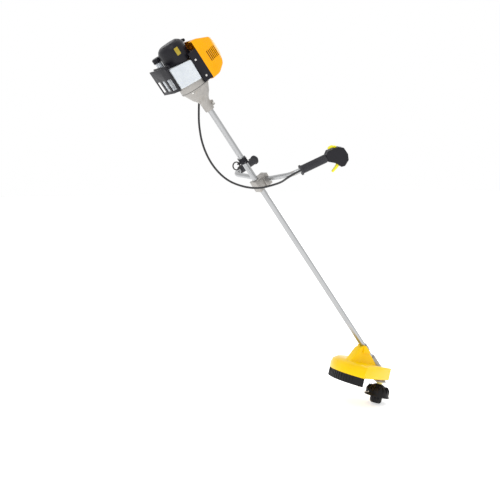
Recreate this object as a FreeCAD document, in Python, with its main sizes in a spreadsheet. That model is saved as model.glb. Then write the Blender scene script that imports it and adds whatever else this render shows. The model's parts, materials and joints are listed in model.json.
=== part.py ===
import FreeCAD, Part
import math
import os
import re
import Sketcher

# Petrol string trimmer with a bullhorn handlebar, modelled in millimetres.
# Machine frame: x runs forward along the shaft from the clutch housing's neck, y is the left side,
# z is square to the shaft. Head frame: z is the spindle, its origin is where the gear axes cross.
# The machine is stored leaning as it is carried: shaft nose-down, origin in the harness eye.

V = FreeCAD.Vector
doc = FreeCAD.newDocument("StringTrimmer")
sheet = doc.addObject("Spreadsheet::Sheet", "Sizes")

SIZES = {
    # stance
    "shaft_lean": 53,
    "head_lean": 38,
    # fits
    "running_gap": 0.05,
    "slip_gap": 0.4,
    "free_gap": 1.0,
    # shaft tube and drive shaft
    "tube_radius": 13,
    "tube_wall": 1.5,
    "tube_length": 1566,
    "drive_radius": 4,
    "bush_length": 14,
    "bush_count": 5,
    # clutch
    "neck_depth": 48,
    "neck_wall": 8,
    "clutch_face": 118,
    "flange_radius": 66,
    "flange_thick": 6,
    "casting_wall": 4.5,
    "drum_radius": 37.5,
    "drum_wall": 2,
    "drum_depth": 22,
    "drum_front": 78,
    "hub_radius": 7.5,
    "bearing_radius": 16,
    "bearing_width": 12,
    "shoe_width": 14,
    "shoe_hub_radius": 10,
    # fan housing and flywheel
    "fan_depth": 34,
    "fan_wall": 8,
    "flywheel_radius": 54,
    "blade_count": 12,
    # crankcase, crankshaft, cylinder
    "case_radius": 40,
    "case_wall": 10,
    "case_half": 42,
    "deck_height": 44,
    "crank_radius": 6,
    "web_radius": 27,
    "web_thick": 10,
    "stroke": 30,
    "bore_radius": 18,
    "fin_radius": 36,
    "fin_count": 8,
    "barrel_height": 86,
    "head_height": 16,
    # engine clothes
    "body_half_width": 71,
    "cover_back": 285,
    "cover_front": 110,
    "cover_foot": 63,
    "cover_top": 172,
    "cover_wall": 2.5,
    "cover_crown": 58,
    "louvre_count": 6,
    "louvre_pitch": 9,
    "shroud_foot": 20,
    "muffler_depth": 18,
    # fuel tank
    "tank_back": 248,
    "tank_front": 139,
    "tank_foot": 88,
    "tank_top": 20,
    "tank_wall": 3,
    "filler_radius": 14,
    "cap_radius": 18,
    "guard_bar": 4,
    "guard_slots": 3,
    # fuel system
    "intake_radius": 7,
    "carb_half": 17,
    "filter_depth": 26,
    "primer_radius": 9,
    "primer_travel": 4,
    # starter
    "starter_radius": 60,
    "starter_depth": 88,
    "starter_wall": 3,
    "pulley_radius": 25,
    # carrying
    "hanger_place": 268,
    "hanger_width": 26,
    "clamp_wall": 5,
    "eye_radius": 14.5,
    "eye_band": 5,
    "eye_thick": 5,
    # handlebar
    "bracket_place": 402,
    "bracket_width": 54,
    "bar_radius": 11,
    "bar_wall": 1.5,
    "bar_lift": 38,
    "bar_reach": 247,
    "bar_sweep": 28,
    "bar_bend": 50,
    "grip_radius": 18.5,
    "grip_length": 122,
    "grip_lean_out": 39,
    "grip_lean_on": 23,
    "grip_rise": 119,
    # throttle
    "shell_half": 17,
    "shell_wall": 2.5,
    "throttle_width": 12,
    "cable_radius": 4.5,
    # gearbox
    "gear_place": 1606,
    "pinion_teeth": 14,
    "gear_teeth": 19,
    "cone_reach": 20,
    "tooth_height": 2.2,
    "spindle_radius": 5,
    # cutting head
    "head_top": 52,
    "head_radius": 63,
    "head_depth": 62,
    "head_wall": 3,
    "knob_radius": 30,
    "knob_drop": 34,
    "bump_travel": 6,
    "line_radius": 1.2,
    # guard
    "guard_radius": 262,
    "guard_rise": 38,
    "guard_wall": 3,
    "skirt_depth": 42,
    "skirt_wall": 3,
}
for row, (alias, number) in enumerate(SIZES.items(), 1):
    sheet.set("A%d" % row, alias.replace("_", " "))
    sheet.set("B%d" % row, str(number))
    sheet.setAlias("B%d" % row, alias)
doc.recompute()


# ---- tools of the document ----

def formula(text):
    """An expression with each size's name pointed at the sheet."""
    return re.sub(r"[a-z_]+", lambda word: "Sizes." + word[0] if word[0] in SIZES else word[0], str(text))


def size(text):
    """The value of an expression on the sheet's sizes, as it stands now."""
    return float(sheet.evalExpression(formula(text)))


def bind(thing, field, text):
    thing.setExpression(field, formula(text))


TURN = {
    "x": FreeCAD.Rotation(V(0, 1, 0), 90),
    "y": FreeCAD.Rotation(V(1, 0, 0), -90),
    "z": FreeCAD.Rotation(),
}


def put(thing, at, turn):
    thing.Placement = FreeCAD.Placement(V(), turn)
    for field, text in zip("xyz", at):
        bind(thing, "Placement.Base." + field, text)
    return thing


def rod(radius, length, at=(0, 0, 0), axis="x", turn=None):
    thing = doc.addObject("Part::Cylinder", "Rod")
    bind(thing, "Radius", radius)
    bind(thing, "Height", length)
    return put(thing, at, turn or TURN[axis])


def taper(low, high, length, at=(0, 0, 0), axis="x"):
    thing = doc.addObject("Part::Cone", "Taper")
    bind(thing, "Radius1", low)
    bind(thing, "Radius2", high)
    bind(thing, "Height", length)
    return put(thing, at, TURN[axis])


def block(low, high, turn=None):
    """A box between two corners given as expressions."""
    thing = doc.addObject("Part::Box", "Block")
    for field, a, b in zip(("Length", "Width", "Height"), low, high):
        bind(thing, field, "(%s) - (%s)" % (b, a))
    return put(thing, low, turn or FreeCAD.Rotation())


def fuse(*things):
    joined = doc.addObject("Part::MultiFuse", "Joined")
    joined.Shapes = list(things)
    return joined


def group(*things):
    """Separate solids that share one node."""
    gathered = doc.addObject("Part::Compound", "Group")
    gathered.Links = list(things)
    return gathered


def cut(base, *tools):
    rest = doc.addObject("Part::Cut", "Rest")
    rest.Base = base
    rest.Tool = tools[0] if len(tools) == 1 else fuse(*tools)
    return rest


def common(*things):
    shared = doc.addObject("Part::MultiCommon", "Shared")
    shared.Shapes = list(things)
    return shared


def flipped(thing):
    """The same thing on the other side of the machine."""
    twin = doc.addObject("Part::Mirroring", "Twin")
    twin.Source = thing
    twin.Normal = V(0, 1, 0)
    return twin


def outline(body, role, points, offset=None):
    """A closed sketch of straight sides, each corner tied to the sheet."""
    sketch = body.newObject("Sketcher::SketchObject", "Outline")
    plane = [item for item in body.Origin.OriginFeatures if item.Role == role][0]
    sketch.AttachmentSupport = (plane, [""])
    sketch.MapMode = "FlatFace"
    if offset is not None:
        bind(sketch, "AttachmentOffset.Base.z", offset)
    spots = [(size(a), size(b)) for a, b in points]
    count = len(spots)
    for index in range(count):
        start = V(*spots[index], 0)
        finish = V(*spots[(index + 1) % count], 0)
        sketch.addGeometry(Part.LineSegment(start, finish), False)
    for index in range(count):
        sketch.addConstraint(Sketcher.Constraint("Coincident", index, 2, (index + 1) % count, 1))
    for index, (texts, spot) in enumerate(zip(points, spots)):
        for kind, axis, text, value in (
            ("DistanceX", -2, texts[0], spot[0]),
            ("DistanceY", -1, texts[1], spot[1]),
        ):
            if abs(value) < 1e-9:
                sketch.addConstraint(Sketcher.Constraint("PointOnObject", index, 1, axis))
                continue
            number = sketch.addConstraint(Sketcher.Constraint(kind, -1, 1, index, 1, value))
            bind(sketch, "Constraints[%d]" % number, text)
    return sketch


def turned(points, axis="x"):
    """A solid turned about an axis from (along, radius) corners."""
    body = doc.addObject("PartDesign::Body", "Turned")
    if axis == "x":
        sketch = outline(body, "XZ_Plane", points)
    else:
        sketch = outline(body, "XZ_Plane", [(radius, along) for along, radius in points])
    spin = body.newObject("PartDesign::Revolution", "Spin")
    spin.Profile = sketch
    spin.ReferenceAxis = (sketch, ["H_Axis" if axis == "x" else "V_Axis"])
    spin.Angle = 360
    return body


def padded(points, depth, role="XZ_Plane", offset=None, fillet=None, edges=None):
    """A plate of an outline, half its depth to each side of its plane; edges picked by a test."""
    body = doc.addObject("PartDesign::Body", "Padded")
    pad = body.newObject("PartDesign::Pad", "Pad")
    pad.Profile = outline(body, role, points, offset)
    pad.Midplane = True
    bind(pad, "Length", depth)
    if fillet is not None:
        doc.recompute()
        names = []
        for number, edge in enumerate(pad.Shape.Edges, 1):
            if edges is None or edges(edge):
                names.append("Edge%d" % number)
        soft = body.newObject("PartDesign::Fillet", "Soft")
        soft.Base = (pad, names)
        bind(soft, "Radius", fillet)
    return body


def along(direction):
    """Picks the straight edges that run along one direction."""
    wanted = V(*direction)

    def test(edge):
        start, finish = edge.Vertexes[0].Point, edge.Vertexes[-1].Point
        return (finish - start).normalize().cross(wanted).Length < 0.01
    return test


def bolt(at, axis, length, thread=2.5, head=4.5, head_high=4.5):
    """A socket-head screw whose head stands on `at` and whose shank runs back along the axis."""
    turn = axis if isinstance(axis, FreeCAD.Rotation) else TURN[axis]
    point = V(*[size(text) for text in at])
    shank = doc.addObject("Part::Cylinder", "Shank")
    shank.Radius = thread
    bind(shank, "Height", length)
    bind(shank, "Placement.Base.z", "-(%s)" % length)
    cap = doc.addObject("Part::Cylinder", "Cap")
    cap.Radius = head
    cap.Height = head_high
    socket = doc.addObject("Part::Prism", "Socket")
    socket.Polygon = 6
    socket.Circumradius = head * 0.5
    socket.Height = head_high
    socket.Placement.Base.z = head_high * 0.4
    screw = cut(fuse(shank, cap), socket)
    screw.Placement = FreeCAD.Placement(point, turn)
    for field, text in zip("xyz", at):
        bind(screw, "Placement.Base." + field, text)
    return screw


PARTS = []


def part(label, thing, frame):
    """Names a finished sub-part and puts it in its frame of the leaning machine."""
    holder = thing if thing.TypeId == "PartDesign::Body" else group(thing)
    holder.Label = label
    holder.Placement = frame
    PARTS.append(holder)


# ---- frames ----

lean = FreeCAD.Rotation(V(0, 1, 0), size("shaft_lean"))
eye_drop = "tube_radius + clamp_wall + 6 + eye_radius + eye_band / 2"
MACHINE = FreeCAD.Placement(-lean.multVec(V(size("hanger_place"), 0, -size(eye_drop))), lean)
head_turn = FreeCAD.Rotation(V(0, 1, 0), -size("head_lean"))
HEAD = MACHINE * FreeCAD.Placement(V(size("gear_place"), 0, 0), head_turn)

grip_way = V(size("grip_lean_on"), -size("grip_lean_out"), size("grip_rise")).normalize()
grip_front = (V(1, 0, 0) - grip_way * grip_way.x).normalize()
grip_turn = FreeCAD.Rotation(grip_front, grip_way.cross(grip_front), grip_way, "ZXY")
bar_corner = V(size("bracket_place - bar_sweep"), -size("bar_reach"), size("bar_lift"))
bend_turn = grip_way.getAngle(V(-size("bar_sweep"), -size("bar_reach"), 0))
bend_reach = size("bar_bend") * math.tan(bend_turn / 2)
grip_start = bar_corner + grip_way * (bend_reach + 6)
GRIP = MACHINE * FreeCAD.Placement(grip_start, grip_turn)


# ---- shaft and drive ----

def shaft_tube():
    bore = "tube_radius - tube_wall"
    tube = turned([("-neck_depth", bore), ("-neck_depth", "tube_radius"),
                   ("tube_length - neck_depth", "tube_radius"), ("tube_length - neck_depth", bore)])
    part("shaft_tube", tube, MACHINE)


def shaft_bushes():
    rings = []
    for index in range(int(size("bush_count"))):
        spot = "90 + %d * (tube_length - 250) / (bush_count - 1)" % index
        outer = rod("tube_radius - tube_wall", "bush_length", (spot, 0, 0))
        rings.append(cut(outer, rod("drive_radius + running_gap", "bush_length", (spot, 0, 0))))
    part("shaft_bushes", group(*rings), MACHINE)


def drive_shaft():
    start = "-neck_depth - 18"
    part("drive_shaft", rod("drive_radius", "gear_place - 40 + neck_depth + 18", (start, 0, 0)), MACHINE)


# ---- clutch ----

def clutch_housing():
    wall = "casting_wall"
    cone = turned([
        (0, "tube_radius"), (0, "tube_radius + neck_wall"),
        ("-neck_depth + 4", "tube_radius + neck_wall + 2"), ("-56", "tube_radius + neck_wall + 8"),
        ("-72", "42"), ("-clutch_face + flange_thick + 2", "flange_radius - 5"),
        ("-clutch_face + flange_thick", "flange_radius"), ("-clutch_face", "flange_radius"),
        ("-clutch_face", "flange_radius - fan_wall - 1"), ("-104", "flange_radius - 8 - " + wall),
        ("-drum_front - 3", "drum_radius + 2.5"), ("-drum_front + 3", "drum_radius + 0.5"),
        ("-drum_front + 6", "bearing_radius + 2"), ("-drum_front + 12", "bearing_radius"),
        ("-drum_front + 12 + bearing_width", "bearing_radius"),
        ("-drum_front + 12 + bearing_width", "hub_radius + 2"),
        ("-neck_depth", "hub_radius + 2"), ("-neck_depth", "tube_radius")])
    ear = block(("-30", "-11", "tube_radius + 2"), ("-8", "11", "tube_radius + neck_wall + 10"))
    split = block(("-38", "-1.5", "0"), ("1", "1.5", "tube_radius + neck_wall + 12"))
    hole = rod("2.5", "24", ("-19", "-12", "tube_radius + neck_wall + 4.5"), "y")
    bores = flange_places(lambda y, z: rod("2.5", "flange_thick + 4", ("-clutch_face - 1", y, z)))
    bores += flange_places(lambda y, z: rod("5.5", "24", ("-clutch_face + flange_thick", y, z)))
    around = rod("tube_radius", "neck_depth + 2", ("-neck_depth", 0, 0))
    casting = cut(fuse(cone, cut(ear, around)), split, hole, *bores)
    part("clutch_housing", casting, MACHINE)


def flange_places(make):
    """One thing at each of the four screws of the clutch flange."""
    made = []
    for index in range(4):
        turn = math.radians(45 + 90 * index)
        reach = "(flange_radius - 4.2) * %.6f"
        made.append(make(reach % math.cos(turn), reach % math.sin(turn)))
    return made


def drum_bearing():
    spot = "-drum_front + 12"
    outer = rod("bearing_radius", "bearing_width", (spot, 0, 0))
    part("drum_bearing", cut(outer, rod("hub_radius + running_gap", "bearing_width", (spot, 0, 0))), MACHINE)


def clutch_drum():
    inner = "drum_radius - drum_wall"
    drum = turned([
        ("-drum_front - drum_depth", inner), ("-drum_front - drum_depth", "drum_radius"),
        ("-drum_front", "drum_radius"), ("-drum_front", "hub_radius"),
        ("-neck_depth - 2", "hub_radius"), ("-neck_depth - 2", "drive_radius"),
        ("-neck_depth - 18", "drive_radius"), ("-neck_depth - 18", 0),
        ("-drum_front - drum_wall", 0), ("-drum_front - drum_wall", inner)])
    part("clutch_drum", drum, MACHINE)


def clutch_shoes():
    back = "-drum_front - drum_wall - 4 - shoe_width"
    disc = cut(rod("drum_radius - drum_wall - free_gap", "shoe_width", (back, 0, 0)),
               rod("shoe_hub_radius", "shoe_width", (back, 0, 0)))
    gap = block((back, "-60", "-3.5"), ("-drum_front", "60", "3.5"))
    part("clutch_shoes", cut(disc, gap), MACHINE)


# ---- flywheel, crankcase and crank ----

def fan_housing():
    back = "-clutch_face - fan_depth"
    dish = turned([
        ("-clutch_face", "flange_radius - fan_wall"), ("-clutch_face", "flange_radius"),
        (back, "flange_radius"), (back, "20"), (back + " + 4", "20"),
        (back + " + 4", "flange_radius - fan_wall")])
    bores = flange_places(lambda y, z: rod("2.5", "16", ("-clutch_face - 15", y, z)))
    part("fan_housing", cut(dish, *bores), MACHINE)


def flywheel():
    back = "-clutch_face - fan_depth + 6"
    disc = turned([(back, "crank_radius"), (back, "flywheel_radius"), (back + " + 8", "flywheel_radius"),
                   (back + " + 10", "16"), (back + " + 22", "14"), (back + " + 22", "crank_radius")])
    blades = []
    for index in range(int(size("blade_count"))):
        blade = block((back + " + 6", "20", "-1.5"), (back + " + 20", "flywheel_radius - 1", "1.5"))
        blade.Placement.Rotation = FreeCAD.Rotation()
        turned_blade = group(blade)
        turned_blade.Placement = FreeCAD.Placement(V(),
                                                   FreeCAD.Rotation(V(1, 0, 0),
                                                                    360 / size("blade_count") * index))
        blades.append(turned_blade)
    part("flywheel", fuse(disc, *blades), MACHINE)


case_middle = "(-clutch_face - fan_depth - case_half)"


def crankcase(label, front):
    """One half of the crankcase, split across the cylinder's axis."""
    middle = case_middle
    shell = rod("case_radius", "2 * case_half", (middle + " - case_half", 0, 0))
    deck = block((middle + " - 34", "-34", "10"), (middle + " + 34", "34", "deck_height"))
    room = rod("web_radius + 3", "2 * (case_half - case_wall - 6)",
               (middle + " - case_half + case_wall + 6", 0, 0))
    seats = rod("15", "2 * (case_half - 5)", (middle + " - case_half + 5", 0, 0))
    hole = rod("crank_radius + 2", "2 * case_half + 2", (middle + " - case_half - 1", 0, 0))
    throat = rod("bore_radius + 3", "deck_height + 1", (middle, 0, "4"), "z")
    if front:
        half = block((middle, "-60", "-60"), (middle + " + case_half", "60", "60"))
    else:
        half = block((middle + " - case_half", "-60", "-60"), (middle, "60", "60"))
    part(label, common(cut(fuse(shell, deck), room, seats, hole, throat), half), MACHINE)


def crank_bearings():
    rings = []
    for spot in (case_middle + " - case_half + 5", case_middle + " + case_half - case_wall - 6"):
        outer = rod("15", "case_wall + 1", (spot, 0, 0))
        rings.append(cut(outer, rod("crank_radius + running_gap", "case_wall + 1", (spot, 0, 0))))
    part("crank_bearings", group(*rings), MACHINE)


def crankshaft():
    middle = case_middle
    web = "web_thick"
    shaft = turned([
        ("-drum_front - drum_wall - 2", 0), ("-drum_front - drum_wall - 2", "shoe_hub_radius"),
        ("-clutch_face + 10", "shoe_hub_radius"), ("-clutch_face + 10", "crank_radius"),
        (middle + " + 6 + " + web, "crank_radius"), (middle + " + 6 + " + web, "web_radius"),
        (middle + " + 6", "web_radius"), (middle + " + 6", 0)])
    tail = turned([
        (middle + " - 6", 0), (middle + " - 6", "web_radius"), (middle + " - 6 - " + web, "web_radius"),
        (middle + " - 6 - " + web, "crank_radius"), (middle + " - case_half - 16", "crank_radius"),
        (middle + " - case_half - 16", 0)])
    pin = rod("6", "12", (middle + " - 6", 0, "stroke / 2"))
    part("crankshaft", fuse(shaft, tail, pin), MACHINE)


def cylinder():
    middle = case_middle
    solids = [rod("bore_radius + 4", "barrel_height", (middle, 0, "deck_height"), "z"),
              block((middle + " - 30", "-30", "deck_height"), (middle + " + 30", "30", "deck_height + 6")),
              rod("bore_radius + 8", "head_height", (middle, 0, "deck_height + barrel_height - 8"), "z")]
    for index in range(int(size("fin_count"))):
        lift = "deck_height + 14 + %d * (barrel_height - 32) / (fin_count - 1)" % index
        solids.append(rod("fin_radius", "2.2", (middle, 0, lift), "z"))
    solids.append(block((middle + " - 13", "-fin_radius - 4", "deck_height + 26"),
                        (middle + " + 13", "0", "deck_height + 48")))
    solids.append(block((middle + " - 15", "0", "deck_height + 24"),
                        (middle + " + 15", "fin_radius + 20", "deck_height + 50")))
    bore = rod("bore_radius + running_gap", "barrel_height - 8", (middle, 0, "deck_height"), "z")
    exhaust = rod("8", "fin_radius + 6", (middle, "-fin_radius - 5", "deck_height + 37"), "y")
    intake = rod("intake_radius", "fin_radius + 22", (middle, "0", "deck_height + 37"), "y")
    plug = rod("5", "30", (middle + " - bore_radius - 12", 0, "deck_height + barrel_height - 1"), "x")
    part("cylinder", cut(fuse(*solids), bore, exhaust, intake, plug), MACHINE)


def piston():
    top = "deck_height + barrel_height - 12"
    skirt = rod("bore_radius", "30", (case_middle, 0, top + " - 30"), "z")
    room = rod("bore_radius - 3", "25", (case_middle, 0, top + " - 30"), "z")
    grooves = []
    for drop in (5, 9):
        outer = rod("bore_radius + 1", "1.5", (case_middle, 0, top + " - %d" % drop), "z")
        grooves.append(cut(outer,
                           rod("bore_radius - 1", "1.5", (case_middle, 0, top + " - %d" % drop), "z")))
    part("piston", cut(skirt, room, *grooves), MACHINE)


plug_lift = "(deck_height + barrel_height - 1)"


def spark_plug():
    seat = case_middle + " - bore_radius - 8"
    thread = rod("5", "9", (seat, 0, plug_lift))
    hexagon = doc.addObject("Part::Prism", "Hexagon")
    hexagon.Polygon = 6
    hexagon.Circumradius = 9
    hexagon.Height = 8
    put(hexagon, (seat + " - 8", 0, plug_lift), TURN["x"])
    insulator = taper("3", "4.5", "16", (seat + " - 24", 0, plug_lift))
    part("spark_plug", fuse(thread, hexagon, insulator), MACHINE)


def plug_cap():
    seat = case_middle + " - bore_radius - 8"
    boot = rod("8.5", "22", (seat + " - 31", 0, plug_lift))
    spout = rod("5", "26", (seat + " - 24", 0, plug_lift + " - 26"), "z")
    nose = taper("3", "4.5", "16", (seat + " - 24", 0, plug_lift))
    part("plug_cap", cut(fuse(boot, spout), nose), MACHINE)


# ---- covers ----

def cover_block(shrink):
    """The covers' domed block, or the room inside it."""
    inset = " - (%s)" % shrink
    back = "-cover_back + (%s)" % shrink
    front = "-cover_front" + inset
    foot = "cover_foot" if shrink == "0" else "cover_foot - 1"
    side = padded([
        (back, foot), (back, "cover_foot + 22"), ("-cover_back + 32", "cover_top - 14" + inset),
        ("-cover_back + 56", "cover_top" + inset), ("-cover_front - 66", "cover_top" + inset),
        ("-cover_front - 24", "cover_top - 26" + inset), (front, "cover_foot + 40"), (front, foot)],
        "4 * body_half_width", "XZ_Plane")
    girth = padded([
        ("-body_half_width + (%s)" % shrink, foot),
        ("-body_half_width + 3 + (%s)" % shrink, "cover_foot + 50"),
        ("-cover_crown + (%s)" % shrink, "cover_top - 22" + inset),
        ("-cover_crown + 26", "cover_top" + inset),
        ("cover_crown - 26", "cover_top" + inset), ("cover_crown" + inset, "cover_top - 22" + inset),
        ("body_half_width - 3" + inset, "cover_foot + 50"), ("body_half_width" + inset, foot)],
        "4 * cover_back", "YZ_Plane")
    return common(side, girth)


def top_cover():
    shell = cut(cover_block("0"), cover_block("cover_wall"))
    openings = [rod("flange_radius + 1.5", "60", ("-clutch_face - 45", 0, 0))]
    for index in range(int(size("louvre_count"))):
        lift = "cover_foot + 34 + %d * louvre_pitch" % index
        openings.append(block(("-cover_front - 108", "-body_half_width - 5", lift),
                              ("-cover_front - 60", "-cover_crown + 14", lift + " + louvre_pitch / 2")))
    for index in range(int(size("louvre_count"))):
        lift = "cover_foot + 24 + %d * louvre_pitch * 1.2" % index
        openings.append(block(("-cover_back - 5", "-cover_crown + 2", lift),
                              ("-cover_back + 34", "-cover_crown + 20", lift + " + louvre_pitch / 2")))
    openings.append(block(("-cover_back - 5", "-40", "cover_foot - 1"),
                          ("-cover_back + 8", "44", "cover_foot + 18")))
    openings.append(block((case_middle + " - 30", "body_half_width - 12", "cover_foot - 1"),
                          (case_middle + " + 30", "body_half_width + 5", "cover_foot + 46")))
    part("top_cover", cut(shell, *openings), MACHINE)


def side_shroud():
    outer = block(("-cover_back + 33", "-body_half_width", "shroud_foot"),
                  ("-cover_front - 8", "body_half_width", "cover_foot - slip_gap"))
    inner = block(("-cover_back + 36", "-body_half_width + 3", "shroud_foot - 1"),
                  ("-cover_front - 11", "body_half_width - 3", "cover_foot"))
    fan = rod("flange_radius + slip_gap", "60", ("-clutch_face - 40", 0, 0))
    starter = rod("starter_radius + 1", "60", (case_middle + " - case_half - 60", 0, 0))
    bores = [rod("2", "8", (place, "-body_half_width - 1", lift), "y") for place, lift in SCREWS]
    window = block((case_middle + " - 24", "body_half_width - 12", "cover_foot - 23"),
                   (case_middle + " + 24", "body_half_width + 5", "cover_foot + 1"))
    part("side_shroud", cut(cut(outer, inner), fan, starter, window, *bores), MACHINE)


SCREWS = (("-216", "34"), ("-139", "38"))


def engine_screws():
    face = "-clutch_face + flange_thick"
    screws = flange_places(lambda y, z: bolt((face, y, z), "x", "flange_thick + 14"))
    toward = FreeCAD.Rotation(V(1, 0, 0), 90)
    for place, lift in SCREWS:
        screws.append(bolt((place, "-body_half_width", lift), toward, "10", 2, 4.5, 2.5))
    part("engine_screws", group(*screws), MACHINE)


def muffler():
    middle = case_middle
    body = padded([
        (middle + " - 30", "deck_height + 14"), (middle + " + 30", "deck_height + 14"),
        (middle + " + 30", "deck_height + 76"), (middle + " - 30", "deck_height + 76")],
        "muffler_depth", "XZ_Plane", "fin_radius + 4 + muffler_depth / 2", "3")
    room = block((middle + " - 28", "-fin_radius - 2 - muffler_depth", "deck_height + 16"),
                 (middle + " + 28", "-fin_radius - 6", "deck_height + 74"))
    port = rod("8", "12", (middle, "-fin_radius - 10", "deck_height + 37"), "y")
    outlet = rod("5", "12", (middle + " - 36", "-fin_radius - 4 - muffler_depth / 2", "deck_height + 62"),
                 "x")
    part("muffler", cut(body, room, port, outlet), MACHINE)


# ---- fuel ----

def tank_side(shrink):
    """The tank's slanted outline, seen from the side."""
    return [("-tank_back + (%s)" % shrink, "-tank_foot + (%s)" % shrink),
            ("-tank_front - 17 - (%s)" % shrink, "-tank_foot - 2 + (%s)" % shrink),
            ("-tank_front - (%s)" % shrink, "tank_top - 3 - (%s)" % shrink),
            ("-tank_back + 19 + (%s)" % shrink, "tank_top - (%s)" % shrink)]


def fuel_tank():
    width = "2 * body_half_width"
    body = padded(tank_side("0"), width, "XZ_Plane", None, "6", along((0, 1, 0)))
    saddle = block(("-tank_back - 30", "-case_radius - 2", "-case_radius - 2"),
                   ("-tank_front + 30", "case_radius + 2", "tank_top + 10"))
    fan = rod("flange_radius + 1", "90", ("-clutch_face - fan_depth - 1", 0, 0))
    starter = rod("starter_radius + 1", "40", (case_middle + " - case_half - 39", 0, 0))
    hollow = cut(padded(tank_side("tank_wall"), "2 * (body_half_width - tank_wall)", "XZ_Plane"),
                 block(("-tank_back - 30", "-case_radius - 5", "-case_radius - 5"),
                       ("-tank_front + 30", "case_radius + 5", "tank_top + 10")),
                 rod("flange_radius + 4", "90", ("-clutch_face - fan_depth - 4", 0, 0)),
                 rod("starter_radius + 4", "40", (case_middle + " - case_half - 36", 0, 0)))
    neck = rod("filler_radius", "54", ("-tank_back - 44", "body_half_width - 17", "-58"))
    throat = rod("filler_radius - 3", "60", ("-tank_back - 45", "body_half_width - 17", "-58"))
    part("fuel_tank", cut(fuse(cut(body, saddle, fan, starter), neck), hollow, throat), MACHINE)


def fuel_cap():
    mouth = "-tank_back - 44"
    lid = turned([("-8", 0), ("-8", "cap_radius - 3"), ("-5", "cap_radius"), ("12", "cap_radius"),
                  ("12", "filler_radius + slip_gap"), ("0.3", "filler_radius + slip_gap"), ("0.3", 0)])
    lid_at = group(lid)
    put(lid_at, (mouth + " - 0.6", "body_half_width - 17", "-58"), FreeCAD.Rotation())
    notches = []
    for index in range(10):
        turn = math.radians(36 * index)
        notches.append(rod("1.6", "22", (mouth + " - 9",
                                         "body_half_width - 17 + (cap_radius + 0.4) * %.6f" % math.cos(turn),
                                         "-58 + (cap_radius + 0.4) * %.6f" % math.sin(turn))))
    part("fuel_cap", cut(lid_at, *notches), MACHINE)


def tank_guard():
    gap = "tank_foot + 3"
    keel = gap + " + 14"
    bar = "guard_bar"
    plate = padded([
        ("-body_half_width", "-(%s)" % gap), ("-30", "-(%s)" % keel), ("body_half_width", "-(%s)" % keel),
        ("body_half_width", "-(%s) - %s" % (keel, bar)), ("-30", "-(%s) - %s" % (keel, bar)),
        ("-body_half_width", "-(%s) - %s" % (gap, bar))], "4 * tank_back", "YZ_Plane")
    reach = block(("-tank_back - 18", "-200", "-200"), ("-tank_front - 14", "200", "0"))
    slots = []
    for index in range(int(size("guard_slots"))):
        side = "-body_half_width + 14 + %d * 46" % index
        slots.append(block(("-tank_back + 34", side, "-200"), ("-tank_front - 26", side + " + 28", "0")))
    feet = []
    for flip in ("-1", "1"):
        low = "%s * (body_half_width - 10) - 5" % flip
        feet.append(block(("-tank_back - 12", low, "-(%s) - 10" % gap),
                          ("-tank_back - 2", low + " + 10", "-(%s) + 14" % gap)))
    crossbar = rod("4", "2 * body_half_width + 4",
                   ("-tank_back - 14", "-body_half_width - 2", "-(%s) + 8" % gap), "y")
    part("tank_guard", fuse(cut(common(plate, reach), *slots), crossbar, *feet), MACHINE)


def carburettor():
    middle = case_middle
    near = "fin_radius + 20"
    body = block((middle + " - carb_half", near, "deck_height + 20"),
                 (middle + " + carb_half", near + " + 30", "deck_height + 54"))
    bowl = rod("14", "8", (middle, near + " + 15", "deck_height + 12"), "z")
    throttle_arm = block((middle + " - 22", near + " + 10", "deck_height + 54"),
                         (middle + " - 4", near + " + 16", "deck_height + 57"))
    throat = rod("intake_radius", "40", (middle, near + " - 2", "deck_height + 37"), "y")
    primer_seat = rod("primer_radius + slip_gap", "primer_travel + slip_gap",
                      (middle, near + " + 15", "deck_height + 12"), "z")
    part("carburettor", cut(fuse(body, bowl, throttle_arm), throat, primer_seat), MACHINE)


filter_face = "(fin_radius + 50)"


def air_filter_cover():
    middle = case_middle
    lid = padded([
        (middle + " - 44", "deck_height + 2"), (middle + " + 40", "deck_height + 2"),
        (middle + " + 40", "deck_height + 66"), (middle + " - 30", "deck_height + 76"),
        (middle + " - 44", "deck_height + 62")], "filter_depth", "XZ_Plane",
        "-(%s) - filter_depth / 2" % filter_face, "5")
    room = block((middle + " - 38", filter_face + " + 3", "deck_height + 9"),
                 (middle + " + 34", filter_face + " + filter_depth - 3", "deck_height + 58"))
    throat = rod("intake_radius", "10", (middle, filter_face + " - 2", "deck_height + 37"), "y")
    part("air_filter_cover", cut(lid, room, throat), MACHINE)


def primer_bulb():
    middle = case_middle
    dome = doc.addObject("Part::Sphere", "Dome")
    bind(dome, "Radius", "primer_radius")
    place = (middle, filter_face + " - 15", "deck_height + 12")
    put(dome, place, FreeCAD.Rotation())
    lower = block((middle + " - 20", filter_face + " - 30", "deck_height - 2"),
                  (middle + " + 20", filter_face + " + 10", "deck_height + 11.5"))
    part("primer_bulb", common(dome, lower), MACHINE)


def choke_lever():
    middle = case_middle
    pivot = middle + " - 30"
    lift = "deck_height + 30"
    outside = filter_face + " + filter_depth + 1"
    arm = block((pivot + " - 5", outside, lift + " - 5"), (pivot + " + 5", outside + " + 3", lift + " + 24"))
    knob = rod("6", "7", (pivot, outside, lift + " + 20"), "y")
    boss = rod("6.5", "4", (pivot, outside, lift), "y")
    part("choke_lever", fuse(arm, knob, boss), MACHINE)


# ---- starter ----

starter_front = "(-clutch_face - fan_depth - 2 * case_half)"


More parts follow.
